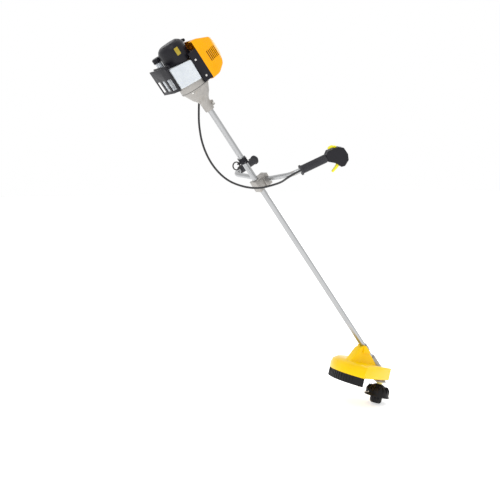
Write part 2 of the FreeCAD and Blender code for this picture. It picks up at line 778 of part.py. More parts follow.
def starter_housing():
    front, depth, radius, wall = starter_front, "starter_depth", "starter_radius", "starter_wall"
    shell = turned([
        (front, radius + " - " + wall), (front, radius), (front + " - 66", radius),
        (front + " - 80", radius + " - 8"),
        (front + " - " + depth, radius + " - 20"), (front + " - " + depth, 0),
        (front + " - " + depth + " + " + wall, 0), (front + " - " + depth + " + " + wall, radius + " - 21"),
        (front + " - 78", radius + " - 8 - " + wall), (front + " - 65", radius + " - " + wall)])
    post = rod("5", "40", (front + " - " + depth + " + 1", 0, 0))
    vents = []
    for index in range(8):
        vent = block((front + " - 100", "32", "-2"), (front + " - 70", "44", "2"))
        vent.Placement.Rotation = FreeCAD.Rotation()
        slot = group(vent)
        slot.Placement = FreeCAD.Placement(V(), FreeCAD.Rotation(V(1, 0, 0), 45 * index + 12))
        vents.append(slot)
    guide = rod("2.2", "40", (pull_place, "pulley_radius + 1.5", "starter_radius - 30"), "z")
    part("starter_housing", cut(fuse(shell, post), guide, *vents), MACHINE)


pull_place = "(-clutch_face - fan_depth - 2 * case_half - 62)"


def starter_pulley():
    spot = pull_place + " - 6"
    wheel = turned([
        (spot, "5 + running_gap"), (spot, "pulley_radius + 3"), (spot + " + 3.5", "pulley_radius + 3"),
        (spot + " + 4", "pulley_radius - 0.4"), (spot + " + 8", "pulley_radius - 0.4"),
        (spot + " + 8.5", "pulley_radius + 3"), (spot + " + 12", "pulley_radius + 3"),
        (spot + " + 12", "5 + running_gap")])
    part("starter_pulley", wheel, MACHINE)


def pull_handle():
    side = "pulley_radius + 1.5"
    rope = rod("1.5", "starter_radius", (pull_place, side, "2"), "z")
    stem = taper("5", "6", "12", (pull_place, side, "starter_radius - 3.5"), "z")
    grip = rod("7", "52", (pull_place, side + " - 26", "starter_radius + 12"), "y")
    part("pull_handle", fuse(rope, stem, grip), MACHINE)


# ---- harness hanger ----

def hanger_clamp():
    start = "hanger_place - hanger_width / 2"
    collar = rod("tube_radius + clamp_wall", "hanger_width", (start, 0, 0))
    ears = block((start, "-tube_radius - 15", "-7"), (start + " + hanger_width", "tube_radius + 15", "7"))
    lug = block(("hanger_place - 3", "-8", "-tube_radius - clamp_wall - 13"),
                ("hanger_place + 3", "8", "-tube_radius"))
    bore = rod("tube_radius", "hanger_width", (start, 0, 0))
    eyelet = rod("4.8", "8", ("hanger_place - 4", 0, "-tube_radius - clamp_wall - 6"))
    split = block((start + " - 1", "-60", "-0.75"), (start + " + hanger_width + 1", "60", "0.75"))
    holes = []
    for place in ("hanger_place - 7", "hanger_place + 7"):
        for side in ("-tube_radius - 9", "tube_radius + 9"):
            holes.append(rod("2.5", "16", (place, side, "-8"), "z"))
    part("hanger_clamp", cut(fuse(collar, ears, lug), bore, eyelet, split, *holes), MACHINE)


def hanger_ring():
    lift = "-tube_radius - clamp_wall - 6 - eye_radius - eye_band / 2"
    at = ("hanger_place", "-eye_thick / 2", lift)
    outer = rod("eye_radius + eye_band", "eye_thick", at, "y")
    part("hanger_ring", cut(outer, rod("eye_radius", "eye_thick", at, "y")), MACHINE)


# ---- handlebar ----

def swept(points, radius, bend):
    """A round bar along straight runs joined by tangent arcs; prints each arc's radius."""
    edges = []
    start = points[0]
    for index in range(1, len(points) - 1):
        back, here, ahead = points[index - 1:index + 2]
        arrive, leave = (here - back).normalize(), (ahead - here).normalize()
        half = arrive.getAngle(leave) / 2
        shorter = min((here - back).Length, (ahead - here).Length)
        reach = bend * math.tan(half) if bend else 0.45 * shorter
        curve = reach / math.tan(half)
        middle = here + (leave - arrive).normalize() * (curve / math.cos(half) - curve)
        edges.append(Part.LineSegment(start, here - arrive * reach).toShape())
        edges.append(Part.Arc(here - arrive * reach, middle, here + leave * reach).toShape())
        start = here + leave * reach
        print("arc radius %.1f" % curve)
    edges.append(Part.LineSegment(start, points[-1]).toShape())
    length = sum(edge.Length for edge in edges)
    circle = Part.Wire(Part.makeCircle(radius, points[0], points[1] - points[0]))
    solid = Part.Wire(edges).makePipeShell([circle], True, True)
    section = math.pi * radius ** 2 * length
    print("length %.1f, volume over section times length %.4f" % (length, solid.Volume / section))
    return solid


def feature(shape):
    thing = doc.addObject("Part::Feature", "Formed")
    thing.Shape = shape
    return thing


def bar_points():
    start = V(size("bracket_place"), -2, size("bar_lift"))
    finish = grip_start + grip_way * size("grip_length + 14")
    return [start, bar_corner, finish]


def handlebars():
    points = bar_points()
    inner = [points[0] - (points[1] - points[0]).normalize(), points[1], points[2] + grip_way]
    outside = swept(points, size("bar_radius"), size("bar_bend"))
    inside = swept(inner, size("bar_radius - bar_wall"), size("bar_bend"))
    bar = cut(feature(outside), feature(inside))
    part("handlebar_right", bar, MACHINE)
    part("handlebar_left", flipped(bar), MACHINE)


def handle_bracket():
    start, finish = "bracket_place - bracket_width / 2", "bracket_place + bracket_width / 2"
    top = "bar_lift"
    body = block((start, "-25", "-tube_radius - 7"), (finish, "25", top + " - slip_gap"))
    waist = [block((start + " - 1", side, "-12"), (finish + " + 1", side + " + 12", "bar_lift - 16"))
             for side in ("-30", "18")]
    holes = [rod("2.5", "60", (place, side, "0"), "z") for place, side in BRACKET_SCREWS]
    bore = rod("tube_radius", "bracket_width", (start, 0, 0))
    part("handle_bracket", cut(body, bore, *waist, *bar_tools(), *holes), MACHINE)


BRACKET_SCREWS = [(place, side) for place in ("bracket_place - 20", "bracket_place + 20")
                  for side in ("-15.9", "15.9")]


def bar_tools():
    """The two bars' own space, cut from what clamps them."""
    solid = feature(swept(bar_points(), size("bar_radius"), size("bar_bend")))
    return [solid, flipped(solid), rod("bar_radius", "6", ("bracket_place", "-3", "bar_lift"), "y")]


def handle_cap():
    start, finish = "bracket_place - bracket_width / 2", "bracket_place + bracket_width / 2"
    lid = block((start, "-25", "bar_lift + slip_gap"), (finish, "25", "bar_lift + bar_radius + 4"))
    holes = [rod("2.5", "40", (place, side, "bar_lift - 5"), "z") for place, side in BRACKET_SCREWS]
    part("handle_cap", cut(lid, *bar_tools(), *holes), MACHINE)


def clamp_bolts():
    across = FreeCAD.Rotation(V(1, 0, 0), 90)
    top = "bar_lift + bar_radius + 4"
    bolts = [bolt(("-19", "-11", "tube_radius + neck_wall + 4.5"), across, "20")]
    for place, side in BRACKET_SCREWS:
        bolts.append(bolt((place, side, top), "z", "bar_radius + 22"))
    for place in ("hanger_place - 7", "hanger_place + 7"):
        for side in ("-tube_radius - 9", "tube_radius + 9"):
            bolts.append(bolt((place, side, "7"), "z", "14"))
    for side in STRAP_SIDES:
        bolts.append(bolt((strap_place, side, "6"), "z", "16"))
    part("clamp_bolts", group(*bolts), MACHINE)


def grip_body(collar):
    sleeve = rod("grip_radius", "grip_length", (0, 0, 0), "z")
    flange = rod("grip_radius + 5", "6", (0, 0, collar), "z")
    return cut(fuse(sleeve, flange), rod("bar_radius", "grip_length", (0, 0, 0), "z"))


def grips():
    part("right_grip", grip_body("0"), GRIP)
    left = group(grip_body("grip_length - 6"))
    left.Placement = FreeCAD.Placement(grip_start, grip_turn)
    part("left_grip", flipped(left), MACHINE)


# ---- throttle: its frame stands on the right grip's end ----

THROTTLE = GRIP * FreeCAD.Placement(V(0, 0, size("grip_length")), FreeCAD.Rotation())


def throttle_shells():
    hull = [("-15", "0.3"), ("-28", "14"), ("-27", "60"), ("-12", "84"), ("20", "92"), ("46", "86"),
            ("63", "62"), ("60", "46"), ("34", "28"), ("15", "0.3")]
    room = [("-12", "16"), ("-24", "20"), ("-23", "59"), ("-10", "80"), ("20", "88"), ("43", "82"),
            ("58", "61"), ("54", "50"), ("30", "34"), ("12", "16")]
    body = padded(hull, "2 * shell_half", "XZ_Plane", None, "3", lambda edge: not along((0, 1, 0))(edge))
    hollow = padded(room, "2 * (shell_half - shell_wall)", "XZ_Plane")
    bore = rod("bar_radius", "14.2", (0, 0, 0), "z")
    mouth = block(("16", "-throttle_width / 2 - 0.8", "18"), ("66", "throttle_width / 2 + 0.8", "60"))
    gap = block(("-34", "-5.5", "42"), ("-12", "5.5", "72"))
    post = cut(rod("8", "2 * (shell_half - 1)", ("30", "-shell_half + 1", "52"), "y"),
               block(("10", "-throttle_width / 2 - 0.4", "30"), ("50", "throttle_width / 2 + 0.4", "70")))
    axle = rod("2.5", "2 * (shell_half - 1)", ("30", "-shell_half + 1", "52"), "y")
    pin = rod("2", "2 * (shell_half - 1)", ("-17", "-shell_half + 1", "58"), "y")
    window = block(("1", "shell_half - 6", "61"), ("19", "shell_half + 2", "69"))
    whole = fuse(cut(body, hollow, bore, mouth, gap, window), post, axle, pin)
    outer = common(whole, block(("-90", "-40", "-5"), ("90", "0", "120")))
    inner = common(whole, block(("-90", "0", "-5"), ("90", "40", "120")))
    part("throttle_shell_outer", outer, THROTTLE)
    part("throttle_shell_inner", inner, THROTTLE)


def throttle_trigger():
    blade = padded([("25", "60"), ("36", "60"), ("50", "45"), ("60", "28"), ("69", "6"), ("66", "3"),
                    ("61", "5"),
                    ("52", "22"), ("40", "36"), ("23", "45")], "throttle_width", "XZ_Plane")
    part("throttle_trigger", cut(blade, rod("2.5 + running_gap", "30", ("30", "-15", "52"), "y")), THROTTLE)


def lockout_lever():
    blade = padded([("-12", "60"), ("-19", "65"), ("-33", "56"), ("-42", "40"), ("-40", "24"), ("-34", "20"),
                    ("-32", "24"), ("-33", "38"), ("-26", "49"), ("-13", "53")], "9", "XZ_Plane")
    part("lockout_lever", cut(blade, rod("2 + running_gap", "30", ("-17", "-15", "58"), "y")), THROTTLE)


def stop_switch():
    knob = block(("2", "shell_half + 0.4", "61.5"), ("14", "shell_half + 4", "68.5"))
    stem = block(("3", "shell_half - 5", "63"), ("13", "shell_half + 1", "67"))
    part("stop_switch", fuse(knob, stem), THROTTLE)


CABLE_ROUTE = [(-177, 78, 92), (-137, 78, 92), (-95, 80, 62), (-58, 72, 25), (-21, 60, -14), (34, 40, -68),
               (108, 20, -114), (192, -5, -138), (275, -30, -132), (338, -60, -98), (380, -100, -55),
               (393, -150, -10), (388, -200, 4), (373, -246, 16)]


def throttle_cable():
    last = grip_start + grip_turn.multVec(V(-5, -17, 0))
    points = [V(*point) for point in CABLE_ROUTE] + [last - grip_way * 25, last]
    print("cable ends", last - grip_way * 25, last)
    part("throttle_cable", feature(swept(points, size("cable_radius"), None)), MACHINE)


# ---- gearbox ----

shaft_way = FreeCAD.Rotation(V(0, 1, 0), -(90 - size("head_lean")))
cone_sum = math.radians(90 + size("head_lean"))
teeth_ratio = size("gear_teeth / pinion_teeth")
pinion_cone = math.atan2(math.sin(cone_sum), teeth_ratio + math.cos(cone_sum))
gear_cone = cone_sum - pinion_cone


def along_shaft(radius, start, length):
    """A rod on the shaft's line, measured back from where the gear axes cross."""
    thing = doc.addObject("Part::Cylinder", "Rod")
    bind(thing, "Radius", radius)
    bind(thing, "Height", length)
    bind(thing, "Placement.Base.z", start)
    turned_rod = group(thing)
    turned_rod.Placement = FreeCAD.Placement(V(), shaft_way)
    return turned_rod


def bevel_gear(teeth, half_cone, phase):
    """Straight bevel teeth on a cone whose tip is at the origin, opening along z."""
    far, near = size("cone_reach"), size("cone_reach") - 7
    tall = size("tooth_height")

    def spot(reach, drop, side):
        angle = half_cone
        r = reach * math.sin(angle) + drop * math.cos(angle)
        z = reach * math.cos(angle) - drop * math.sin(angle)
        return V(r, side, z)

    half = 0.20 * 2 * math.pi * far * math.sin(half_cone) / teeth
    faces = []
    for reach in (near, far):
        scale = reach / far
        root_drop, tip_rise = -tall * scale * 0.8, tall * scale * 0.4
        root_half, tip_half = half * 1.3 * scale, half * 0.7 * scale
        corners = [spot(reach, root_drop, root_half), spot(reach, tip_rise, tip_half),
                   spot(reach, tip_rise, -tip_half), spot(reach, root_drop, -root_half)]
        faces.append(Part.makePolygon(corners + corners[:1]))
    tooth = Part.makeLoft(faces, True, True)
    root = tall * 0.6
    near_point, far_point = spot(near, -root * near / far, 0), spot(far, -root, 0)
    under = V(far_point.x - 4 * math.cos(half_cone), 0, far_point.z + 4)
    front, back = V(0, 0, near_point.z), V(0, 0, under.z)
    face = Part.Face(Part.makePolygon([front, near_point, far_point, under, back, front]))
    solid = face.revolve(V(), V(0, 0, 1), 360)
    for index in range(int(teeth)):
        copy = tooth.copy()
        copy.rotate(V(), V(0, 0, 1), phase + 360 / teeth * index)
        solid = solid.fuse(copy)
    return solid.removeSplitter(), under.z


def pinion_gear():
    shape, back = bevel_gear(size("pinion_teeth"), pinion_cone, 180)
    wheel = feature(shape)
    wheel.Placement = FreeCAD.Placement(V(), shaft_way)
    shank = along_shaft("7", "%.4f" % (back - 0.5), "76 - %.4f" % back)
    socket = along_shaft("drive_radius", "40", "40")
    part("pinion_gear", cut(fuse(wheel, shank), socket), HEAD)


def output_spindle():
    shape, back = bevel_gear(size("gear_teeth"), gear_cone, 180 / size("gear_teeth"))
    wheel = feature(shape)
    wheel.Placement = FreeCAD.Placement(V(), FreeCAD.Rotation(V(0, 1, 0), 180))
    upper = rod("8", "head_top - 2 - %.4f" % (back - 0.5), (0, 0, "-head_top + 2"), "z")
    lower = rod("spindle_radius", "head_depth", (0, 0, "-head_top - head_depth + 8"), "z")
    part("output_spindle", fuse(wheel, upper, lower), HEAD)


def gearbox_housing():
    middle = rod("27", "58", (0, 0, "-40"), "z")
    crown = taper("27", "20", "6", (0, 0, "18"), "z")
    neck = along_shaft("20", "0", "118")
    foot = rod("31", "5", (0, 0, "-40"), "z")
    boss = rod("6", "12", (0, "-35", "-30"), "y")
    lock = rod("2.6", "8", (0, "-35", "-30"), "y")
    room = rod("23.5", "23", (0, 0, "-13"), "z")
    seat = rod("17", "30", (0, 0, "-41"), "z")
    pinion_room = along_shaft("17", "0", "34")
    pinion_seat = along_shaft("14", "34", "12")
    passage = along_shaft("9", "40", "50")
    bore = along_shaft("tube_radius", "gear_place - tube_length + neck_depth", "60")
    body = cut(fuse(middle, crown, neck, foot, boss), room, seat, pinion_room, pinion_seat, passage, bore,
               lock)
    part("gearbox_housing", body, HEAD)


def gearbox_bearings():
    rings = []
    for spot in ("-23", "-38"):
        rings.append(cut(rod("17", "8", (0, 0, spot), "z"), rod("8 + running_gap", "8", (0, 0, spot), "z")))
    rings.append(cut(along_shaft("14", "34", "12"), along_shaft("7 + running_gap", "34", "12")))
    part("gearbox_bearings", group(*rings), HEAD)


def flange_washers():
    upper = cut(rod("21", "4.5", (0, 0, "-45.5"), "z"), rod("8", "4.5", (0, 0, "-45.5"), "z"))
    lower = cut(rod("14", "head_top - 46", (0, 0, "-head_top"), "z"),
                rod("8", "head_top - 48", (0, 0, "-head_top + 2"), "z"),
                rod("spindle_radius", "5", (0, 0, "-head_top - 1"), "z"))
    part("flange_washers", group(upper, lower), HEAD)


# ---- cutting head ----

def head_housing():
    top, foot = "-head_top", "-head_top - head_depth"
    shell = turned([
        (top, "spindle_radius"), (top, "18"), (top + " - 4", "25"), (top + " - 12", "head_radius - 24"),
        (top + " - 26", "head_radius - 8"), (foot + " + 12", "head_radius - 4"),
        (foot + " + 4", "head_radius"),
        (foot, "head_radius"), (foot, "head_radius - head_wall"),
        (foot + " + 12", "head_radius - 4 - head_wall"),
        (top + " - 28", "head_radius - 8 - head_wall"), (top + " - 15", "head_radius - 26"),
        (top + " - 8", "24"), (top + " - 8", "spindle_radius")], "z")
    eyelets = [rod("2.2", "2 * head_radius + 10", ("-head_radius - 5", 0, line_lift))]
    part("head_housing", cut(shell, *eyelets), HEAD)


line_lift = "(-head_top - head_depth + 16)"


def line_spool():
    top, foot = "-head_top - 34", "-head_top - head_depth + 6"
    spool = turned([
        (top + " - 14", "spindle_radius + 0.6"), (top + " - 14", "23"), (top, "23"), (top, "49"),
        (top + " - 2.5", "49"),
        (top + " - 2.5", "26"), (foot + " + 2.5", "26"), (foot + " + 2.5", "49"), (foot, "49"),
        (foot, "spindle_radius + 0.6")], "z")
    part("line_spool", spool, HEAD)


def bump_spring():
    low = "-head_top - 30"
    coil = Part.makeHelix(4.4, 18, 18)
    wire = Part.Wire(Part.makeCircle(1, V(18, 0, 0), V(0, 1, 0)))
    spring = feature(Part.Wire(coil).makePipeShell([wire], True, True))
    spring.Placement = FreeCAD.Placement(V(0, 0, size(low) + 1.5), FreeCAD.Rotation())
    part("bump_spring", spring, HEAD)


def bump_knob():
    top, foot = "-head_top - head_depth + 6", "-head_top - head_depth - knob_drop"
    knob = turned([
        (top, "16"), (top, "knob_radius - 6"), (top + " - 6", "knob_radius - 6"),
        (top + " - 9", "knob_radius"),
        (foot + " + 8", "knob_radius"), (foot, "knob_radius - 7"), (foot, 0), (foot + " + 5", 0),
        (foot + " + 5", "16")], "z")
    part("bump_knob", knob, HEAD)


LINE_ROUTE = [(70, 0, -101), (90, 0, -102), (112, 0, -93), (138, 0, -76), (172, 0, -58), (212, 0, -38)]


def cutting_lines():
    start_lift = size(line_lift)
    points = [V(53, 0, start_lift)] + [V(*point) for point in LINE_ROUTE]
    line = feature(swept(points, size("line_radius"), None))
    other = group(line)
    other.Placement = FreeCAD.Placement(V(), FreeCAD.Rotation(V(0, 0, 1), 180))
    part("cutting_lines", group(line, other), HEAD)


# ---- guard ----

strap_place = "(gear_place - 185)"
STRAP_SIDES = ("-tube_radius - 9", "tube_radius + 9")


def guard_sector(widen):
    """The guard's plan: a fan from the gearbox out past the rim."""
    far = "2 * guard_radius"
    points = [("20", "-40 - (%s)" % widen), ("-%s" % far, "-40 - 0.42 * %s - (%s)" % (far, widen)),
              ("-%s" % far, far), ("-20 + (%s)" % widen, far), ("20", "40 + (%s)" % widen)]
    return padded(points, "4 * guard_radius", "XY_Plane")


def guard():
    rise, wall, rim = "guard_rise", "guard_wall", "guard_radius"
    shell = turned([
        (rise + " - 2", 0), (rise + " + 4", rim + " - 110"), (rise, rim + " - 26"),
        (rise + " - 14", rim + " - 6"),
        ("guard_rise - 32", rim), ("-22", rim), ("-22", rim + " - " + wall),
        ("guard_rise - 32", rim + " - " + wall),
        (rise + " - 15.5", rim + " - 6 - " + wall), (rise + " - " + wall, rim + " - 28"),
        (rise + " + 4 - " + wall, rim + " - 110"), (rise + " - 2 - " + wall, 0)], "z")
    skirt_room = rim + " - guard_wall - skirt_wall - free_gap"
    dome = turned([
        ("-22", 0), ("-22", skirt_room), ("-11", skirt_room), ("-11", rim), (rise + " - 32", rim),
        (rise + " - 14", rim + " - 6"), (rise, rim + " - 26"),
        (rise + " + 4", rim + " - 110"), (rise + " - 2", 0)], "z")
    side_walls = common(dome, cut(guard_sector("0"), guard_sector("-guard_wall")))
    pylon = padded([("-232", rise + " - 2"), ("-190", "106"), ("-165", "124"), ("-100", "74"),
                    ("-62", rise + " - 2")],
                   "40", "XZ_Plane")
    pads = block(("-168", "-28", "90"), ("-126", "28", "125"))
    hollow = block(("-190", "-17", "0"), ("-92", "17", rise + " + 16"))
    bores = [rod("2.5", "14", (strap_place, side, "-11"), "z") for side in STRAP_SIDES]
    above = block((strap_place + " - 80", "-60", "0"), (strap_place + " + 60", "60", "90"))
    on_shaft = group(fuse(above, *bores))
    on_shaft.Placement = HEAD.inverse() * MACHINE
    body = cut(fuse(common(shell, guard_sector("0")), side_walls, pylon, pads), hollow, on_shaft,
               along_shaft("20.5", "0", "124"), along_shaft("tube_radius", "80", "260"),
               rod("34", "120", (0, 0, "-60"), "z"))
    part("guard", body, HEAD)


def guard_skirt():
    rim = "guard_radius - guard_wall - 0.2"
    foot = "-22 - skirt_depth"
    band = turned([("-12", rim), (foot, rim), (foot, rim + " - skirt_wall"), ("-12", rim + " - skirt_wall")],
                  "z")
    ribs = []
    for index in range(26):
        rib = block((rim + " - 1", "-1.2", foot), (rim + " + 2.2", "1.2", "-23"))
        rib.Placement.Rotation = FreeCAD.Rotation()
        held = group(rib)
        held.Placement = FreeCAD.Placement(V(), FreeCAD.Rotation(V(0, 0, 1), 96 + 4.1 * index))
        ribs.append(held)
    part("guard_skirt", common(fuse(band, *ribs), guard_sector("-1")), HEAD)


def line_cutter():
    plate = block(("guard_radius - 34", "0", "-48"), ("guard_radius - 8", "1.8", "-14"))
    hole = block(("guard_radius - 28", "-1", "-42"), ("guard_radius - 16", "3", "-24"))
    held = group(cut(plate, hole))
    held.Placement = FreeCAD.Placement(V(), FreeCAD.Rotation(V(0, 0, 1), 200))
    part("line_cutter", held, HEAD)


def guard_clamp():
    strap = rod("tube_radius + 5", "26", (strap_place + " - 13", 0, 0))
    ears = block((strap_place + " - 13", "-tube_radius - 14", "0"),
                 (strap_place + " + 13", "tube_radius + 14", "6"))
    bore = rod("tube_radius", "26", (strap_place + " - 13", 0, 0))
    lower = block((strap_place + " - 14", "-60", "-60"), (strap_place + " + 14", "60", "0.8"))
    holes = [rod("2.5", "10", (strap_place, side, "-1"), "z") for side in STRAP_SIDES]
    part("guard_clamp", cut(fuse(strap, ears), bore, lower, *holes), MACHINE)


# ---- build, check and write ----

BUILDERS = [
    shaft_tube, shaft_bushes, drive_shaft, clutch_housing, drum_bearing, clutch_drum, clutch_shoes,
    fan_housing,
    flywheel, crank_bearings, crankshaft, cylinder, piston, spark_plug, plug_cap, top_cover, side_shroud,
    engine_screws, muffler, fuel_tank, fuel_cap, tank_guard, carburettor, air_filter_cover, primer_bulb,
    choke_lever, starter_housing, starter_pulley, pull_handle, hanger_clamp, hanger_ring, handlebars,
    handle_bracket, handle_cap, clamp_bolts, grips, throttle_shells, throttle_trigger, lockout_lever,
    stop_switch,
    throttle_cable, pinion_gear, output_spindle, gearbox_housing, gearbox_bearings, flange_washers,
    head_housing,
    line_spool, bump_spring, bump_knob, cutting_lines, guard, guard_skirt, line_cutter, guard_clamp,
]
for builder in BUILDERS:
    builder()
crankcase("crankcase_front", True)
crankcase("crankcase_rear", False)
doc.recompute()

faults = [item.Label for item in doc.Objects if "Invalid" in item.State or "Error" in item.State]
for piece in PARTS:
    if piece.Shape.isNull() or not piece.Shape.isValid() or not piece.Shape.Solids:
        faults.append(piece.Label)
if faults:
    raise RuntimeError("these did not build: " + ", ".join(faults))
os.makedirs("parts", exist_ok=True)
for piece in PARTS:
    piece.Shape.exportStep("parts/" + piece.Label + ".step")
print("%d sub-parts written" % len(PARTS))
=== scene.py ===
"""Petrol string trimmer: the finished looks of every piece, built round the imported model."""
import json
import math

import bmesh
import bpy
from mathutils import Matrix, Vector


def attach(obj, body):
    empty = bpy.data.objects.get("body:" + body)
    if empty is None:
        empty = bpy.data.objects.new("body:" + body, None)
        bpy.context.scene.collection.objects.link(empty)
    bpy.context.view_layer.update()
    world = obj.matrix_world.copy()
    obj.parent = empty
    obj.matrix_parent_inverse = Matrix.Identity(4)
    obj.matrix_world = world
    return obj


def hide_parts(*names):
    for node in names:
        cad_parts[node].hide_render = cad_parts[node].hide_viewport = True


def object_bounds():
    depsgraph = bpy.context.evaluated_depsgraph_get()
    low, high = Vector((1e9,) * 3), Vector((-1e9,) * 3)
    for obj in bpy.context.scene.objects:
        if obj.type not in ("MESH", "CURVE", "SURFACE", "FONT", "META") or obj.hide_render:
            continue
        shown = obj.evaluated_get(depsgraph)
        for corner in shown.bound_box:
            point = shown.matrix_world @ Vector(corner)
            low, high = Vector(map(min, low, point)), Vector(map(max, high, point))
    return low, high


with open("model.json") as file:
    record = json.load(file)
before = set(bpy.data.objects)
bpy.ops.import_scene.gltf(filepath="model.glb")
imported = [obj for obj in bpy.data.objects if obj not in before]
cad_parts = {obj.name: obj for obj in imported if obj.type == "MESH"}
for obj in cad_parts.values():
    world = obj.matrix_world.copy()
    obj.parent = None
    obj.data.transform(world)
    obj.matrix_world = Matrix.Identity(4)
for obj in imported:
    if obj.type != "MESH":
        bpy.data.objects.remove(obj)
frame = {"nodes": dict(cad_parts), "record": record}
CAD_BOX = [list(corner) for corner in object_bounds()]

# ---- Camera, light and floor ----
# The trimmer stands on its bump knob in a bright studio: a pale floor, a white surround that is
# dimmer overhead, and two soft boxes. None of this is part of the trimmer.

EYE_POINT = Vector((-1.6695, -2.999, -0.016))
LOOKING = Vector((0.4988, 0.8605, -0.1028))
LENS_MM = 56.0

camera_data = bpy.data.cameras.new("camera")
camera_data.lens = LENS_MM
camera_data.sensor_width = 36.0
camera = bpy.data.objects.new("camera", camera_data)
bpy.context.collection.objects.link(camera)
camera.location = EYE_POINT
camera.rotation_euler = LOOKING.to_track_quat("-Z", "Y").to_euler()
bpy.context.scene.camera = camera
bpy.context.scene.view_settings.view_transform = "Standard"


class Wire:
    """One output in a material's nodes. Arithmetic on it adds Math nodes."""

    def __init__(self, tree, socket=None):
        self.tree = tree
        self.socket = socket

    def node(self, kind, settings=None, inputs=None, output=0):
        """Adds a node: its settings first, then the values or wires of its inputs."""
        made = self.tree.nodes.new("ShaderNode" + kind)
        for name, value in (settings or {}).items():
            if name == "stops":
                for index, (place, shade) in enumerate(value):
                    stops = made.color_ramp.elements
                    stop = stops[index] if index < len(stops) else stops.new(place)
                    stop.position = place
                    stop.color = (shade, shade, shade, 1.0)
            else:
                setattr(made, name, value)
        for name, value in (inputs or {}).items():
            if isinstance(value, Wire):
                self.tree.links.new(value.socket, made.inputs[name])
            else:
                made.inputs[name].default_value = value
        return Wire(self.tree, made.outputs[output])

    def math(self, operation, first, second):
        return self.node("Math", {"operation": operation}, {0: first, 1: second})

    def __add__(self, other):
        return self.math("ADD", self, other)

    def __mul__(self, other):
        return self.math("MULTIPLY", self, other)

    def blend(self, low, high):
        """This wire as the share of the way from one colour to another."""
        return self.node("Mix", {"data_type": "RGBA"}, {0: self, 6: low, 7: high}, 2)


world = bpy.data.worlds.new("studio")
world.use_nodes = True
bpy.context.scene.world = world
sky = world.node_tree.nodes["Background"]
height = Wire(world.node_tree).node("TexCoord", output="Generated").node("SeparateXYZ")
height = Wire(world.node_tree, height.socket.node.outputs[2])
SURROUND_LOW, SURROUND_HIGH = 1.0, 0.10
overhead = height.node("ValToRGB", {"stops": [(0.26, SURROUND_LOW), (0.50, SURROUND_HIGH)]}, {0: height})
world.node_tree.links.new(overhead.socket, sky.inputs["Color"])


def soft_box(name, place, aim, width, watts):
    light = bpy.data.lights.new(name, "AREA")
    light.shape = "DISK"
    light.size = width
    light.energy = watts
    holder = bpy.data.objects.new(name, light)
    bpy.context.collection.objects.link(holder)
    holder.location = place
    holder.rotation_euler = (Vector(aim) - Vector(place)).to_track_quat("-Z", "Y").to_euler()


soft_box("key_light", (-1.9, -1.2, 2.4), (0.0, 0, -0.2), 1.2, 15)
soft_box("rim_light", (2.2, 1.6, 1.8), (0.2, 0, -0.4), 1.0, 8)


def plain_mesh(name, points, edges, faces):
    mesh = bpy.data.meshes.new(name)
    mesh.from_pydata(points, edges, faces)
    holder = bpy.data.objects.new(name, mesh)
    bpy.context.collection.objects.link(holder)
    return holder


FLOOR_HALF, FLOOR_GAP = 30.0, 0.0005
floor_height = CAD_BOX[0][2] - FLOOR_GAP
floor_corners = [(x * FLOOR_HALF, y * FLOOR_HALF, floor_height)
                 for x, y in ((-1, -1), (1, -1), (1, 1), (-1, 1))]
floor = plain_mesh("floor", floor_corners, [], [(0, 1, 2, 3)])
floor_finish = bpy.data.materials.new("floor_finish")
floor_finish.use_nodes = True
floor_shader = floor_finish.node_tree.nodes["Principled BSDF"]
floor_shader.inputs["Base Color"].default_value = (0.93, 0.93, 0.93, 1)
floor_shader.inputs["Roughness"].default_value = 0.55
floor_shader.inputs["Specular IOR Level"].default_value = 0.2
floor_shader.inputs["Emission Color"].default_value = (1, 1, 1, 1)
floor_shader.inputs["Emission Strength"].default_value = 0.55
floor.data.materials.append(floor_finish)

# ---- Shaft tube, bushes and drive shaft ----
# A drawn aluminium tube of 26 mm, satin from its own drawing marks, which run lengthways. Inside it
# a steel drive shaft turns in five bushes pressed into the tube.

# MACHINE takes a place measured along the shaft from the clutch housing's neck to the shared frame.
# HEAD does the same for one measured from where the gearbox's two axes cross, with z up the spindle.
SHAFT_LEAN, HEAD_LEAN = math.radians(53), math.radians(38)
HANGER_PLACE, HANGER_DROP, GEAR_PLACE = 0.268, 0.041, 1.606
MACHINE = Matrix.Rotation(SHAFT_LEAN, 4, "Y") @ Matrix.Translation((-HANGER_PLACE, 0, HANGER_DROP))
HEAD = MACHINE @ Matrix.Translation((GEAR_PLACE, 0, 0)) @ Matrix.Rotation(-HEAD_LEAN, 4, "Y")
BODY_OF = {node: body for body, nodes in frame["record"]["behaviour"]["bodies"].items() for node in nodes}
SLOT_OF = {row["node"]: row["material_slot"] for row in frame["record"]["subparts"]}
EASED_ANGLE, TURNED_ANGLE = math.radians(40), math.radians(50)
WELD, FLATNESS, SMOOTH_BELOW = 2e-6, 0.005, 32


def chosen(piece):
    """Selects one piece and nothing else."""
    bpy.ops.object.select_all(action="DESELECT")
    piece.select_set(True)
    bpy.context.view_layer.objects.active = piece


def modify(piece, kind, **settings):
    """Adds a modifier and applies it."""
    chosen(piece)
    extra = piece.modifiers.new(kind.lower(), kind)
    for name, value in settings.items():
        setattr(extra, name, value)
    bpy.ops.object.modifier_apply(modifier=extra.name)


def smoothed(piece, degrees):
    """Smooth shading, but for edges sharper than this."""
    chosen(piece)
    bpy.ops.object.shade_smooth_by_angle(angle=math.radians(degrees))


def finish_piece(piece, finish, body, slot, *nodes):
    """Gives a piece its material and body, and hides the drawn parts that it stands for. The slot is not
    used.
    """
    piece.data.materials.clear()
    piece.data.materials.append(finish)
    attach(piece, body)
    if nodes:
        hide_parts(*nodes)


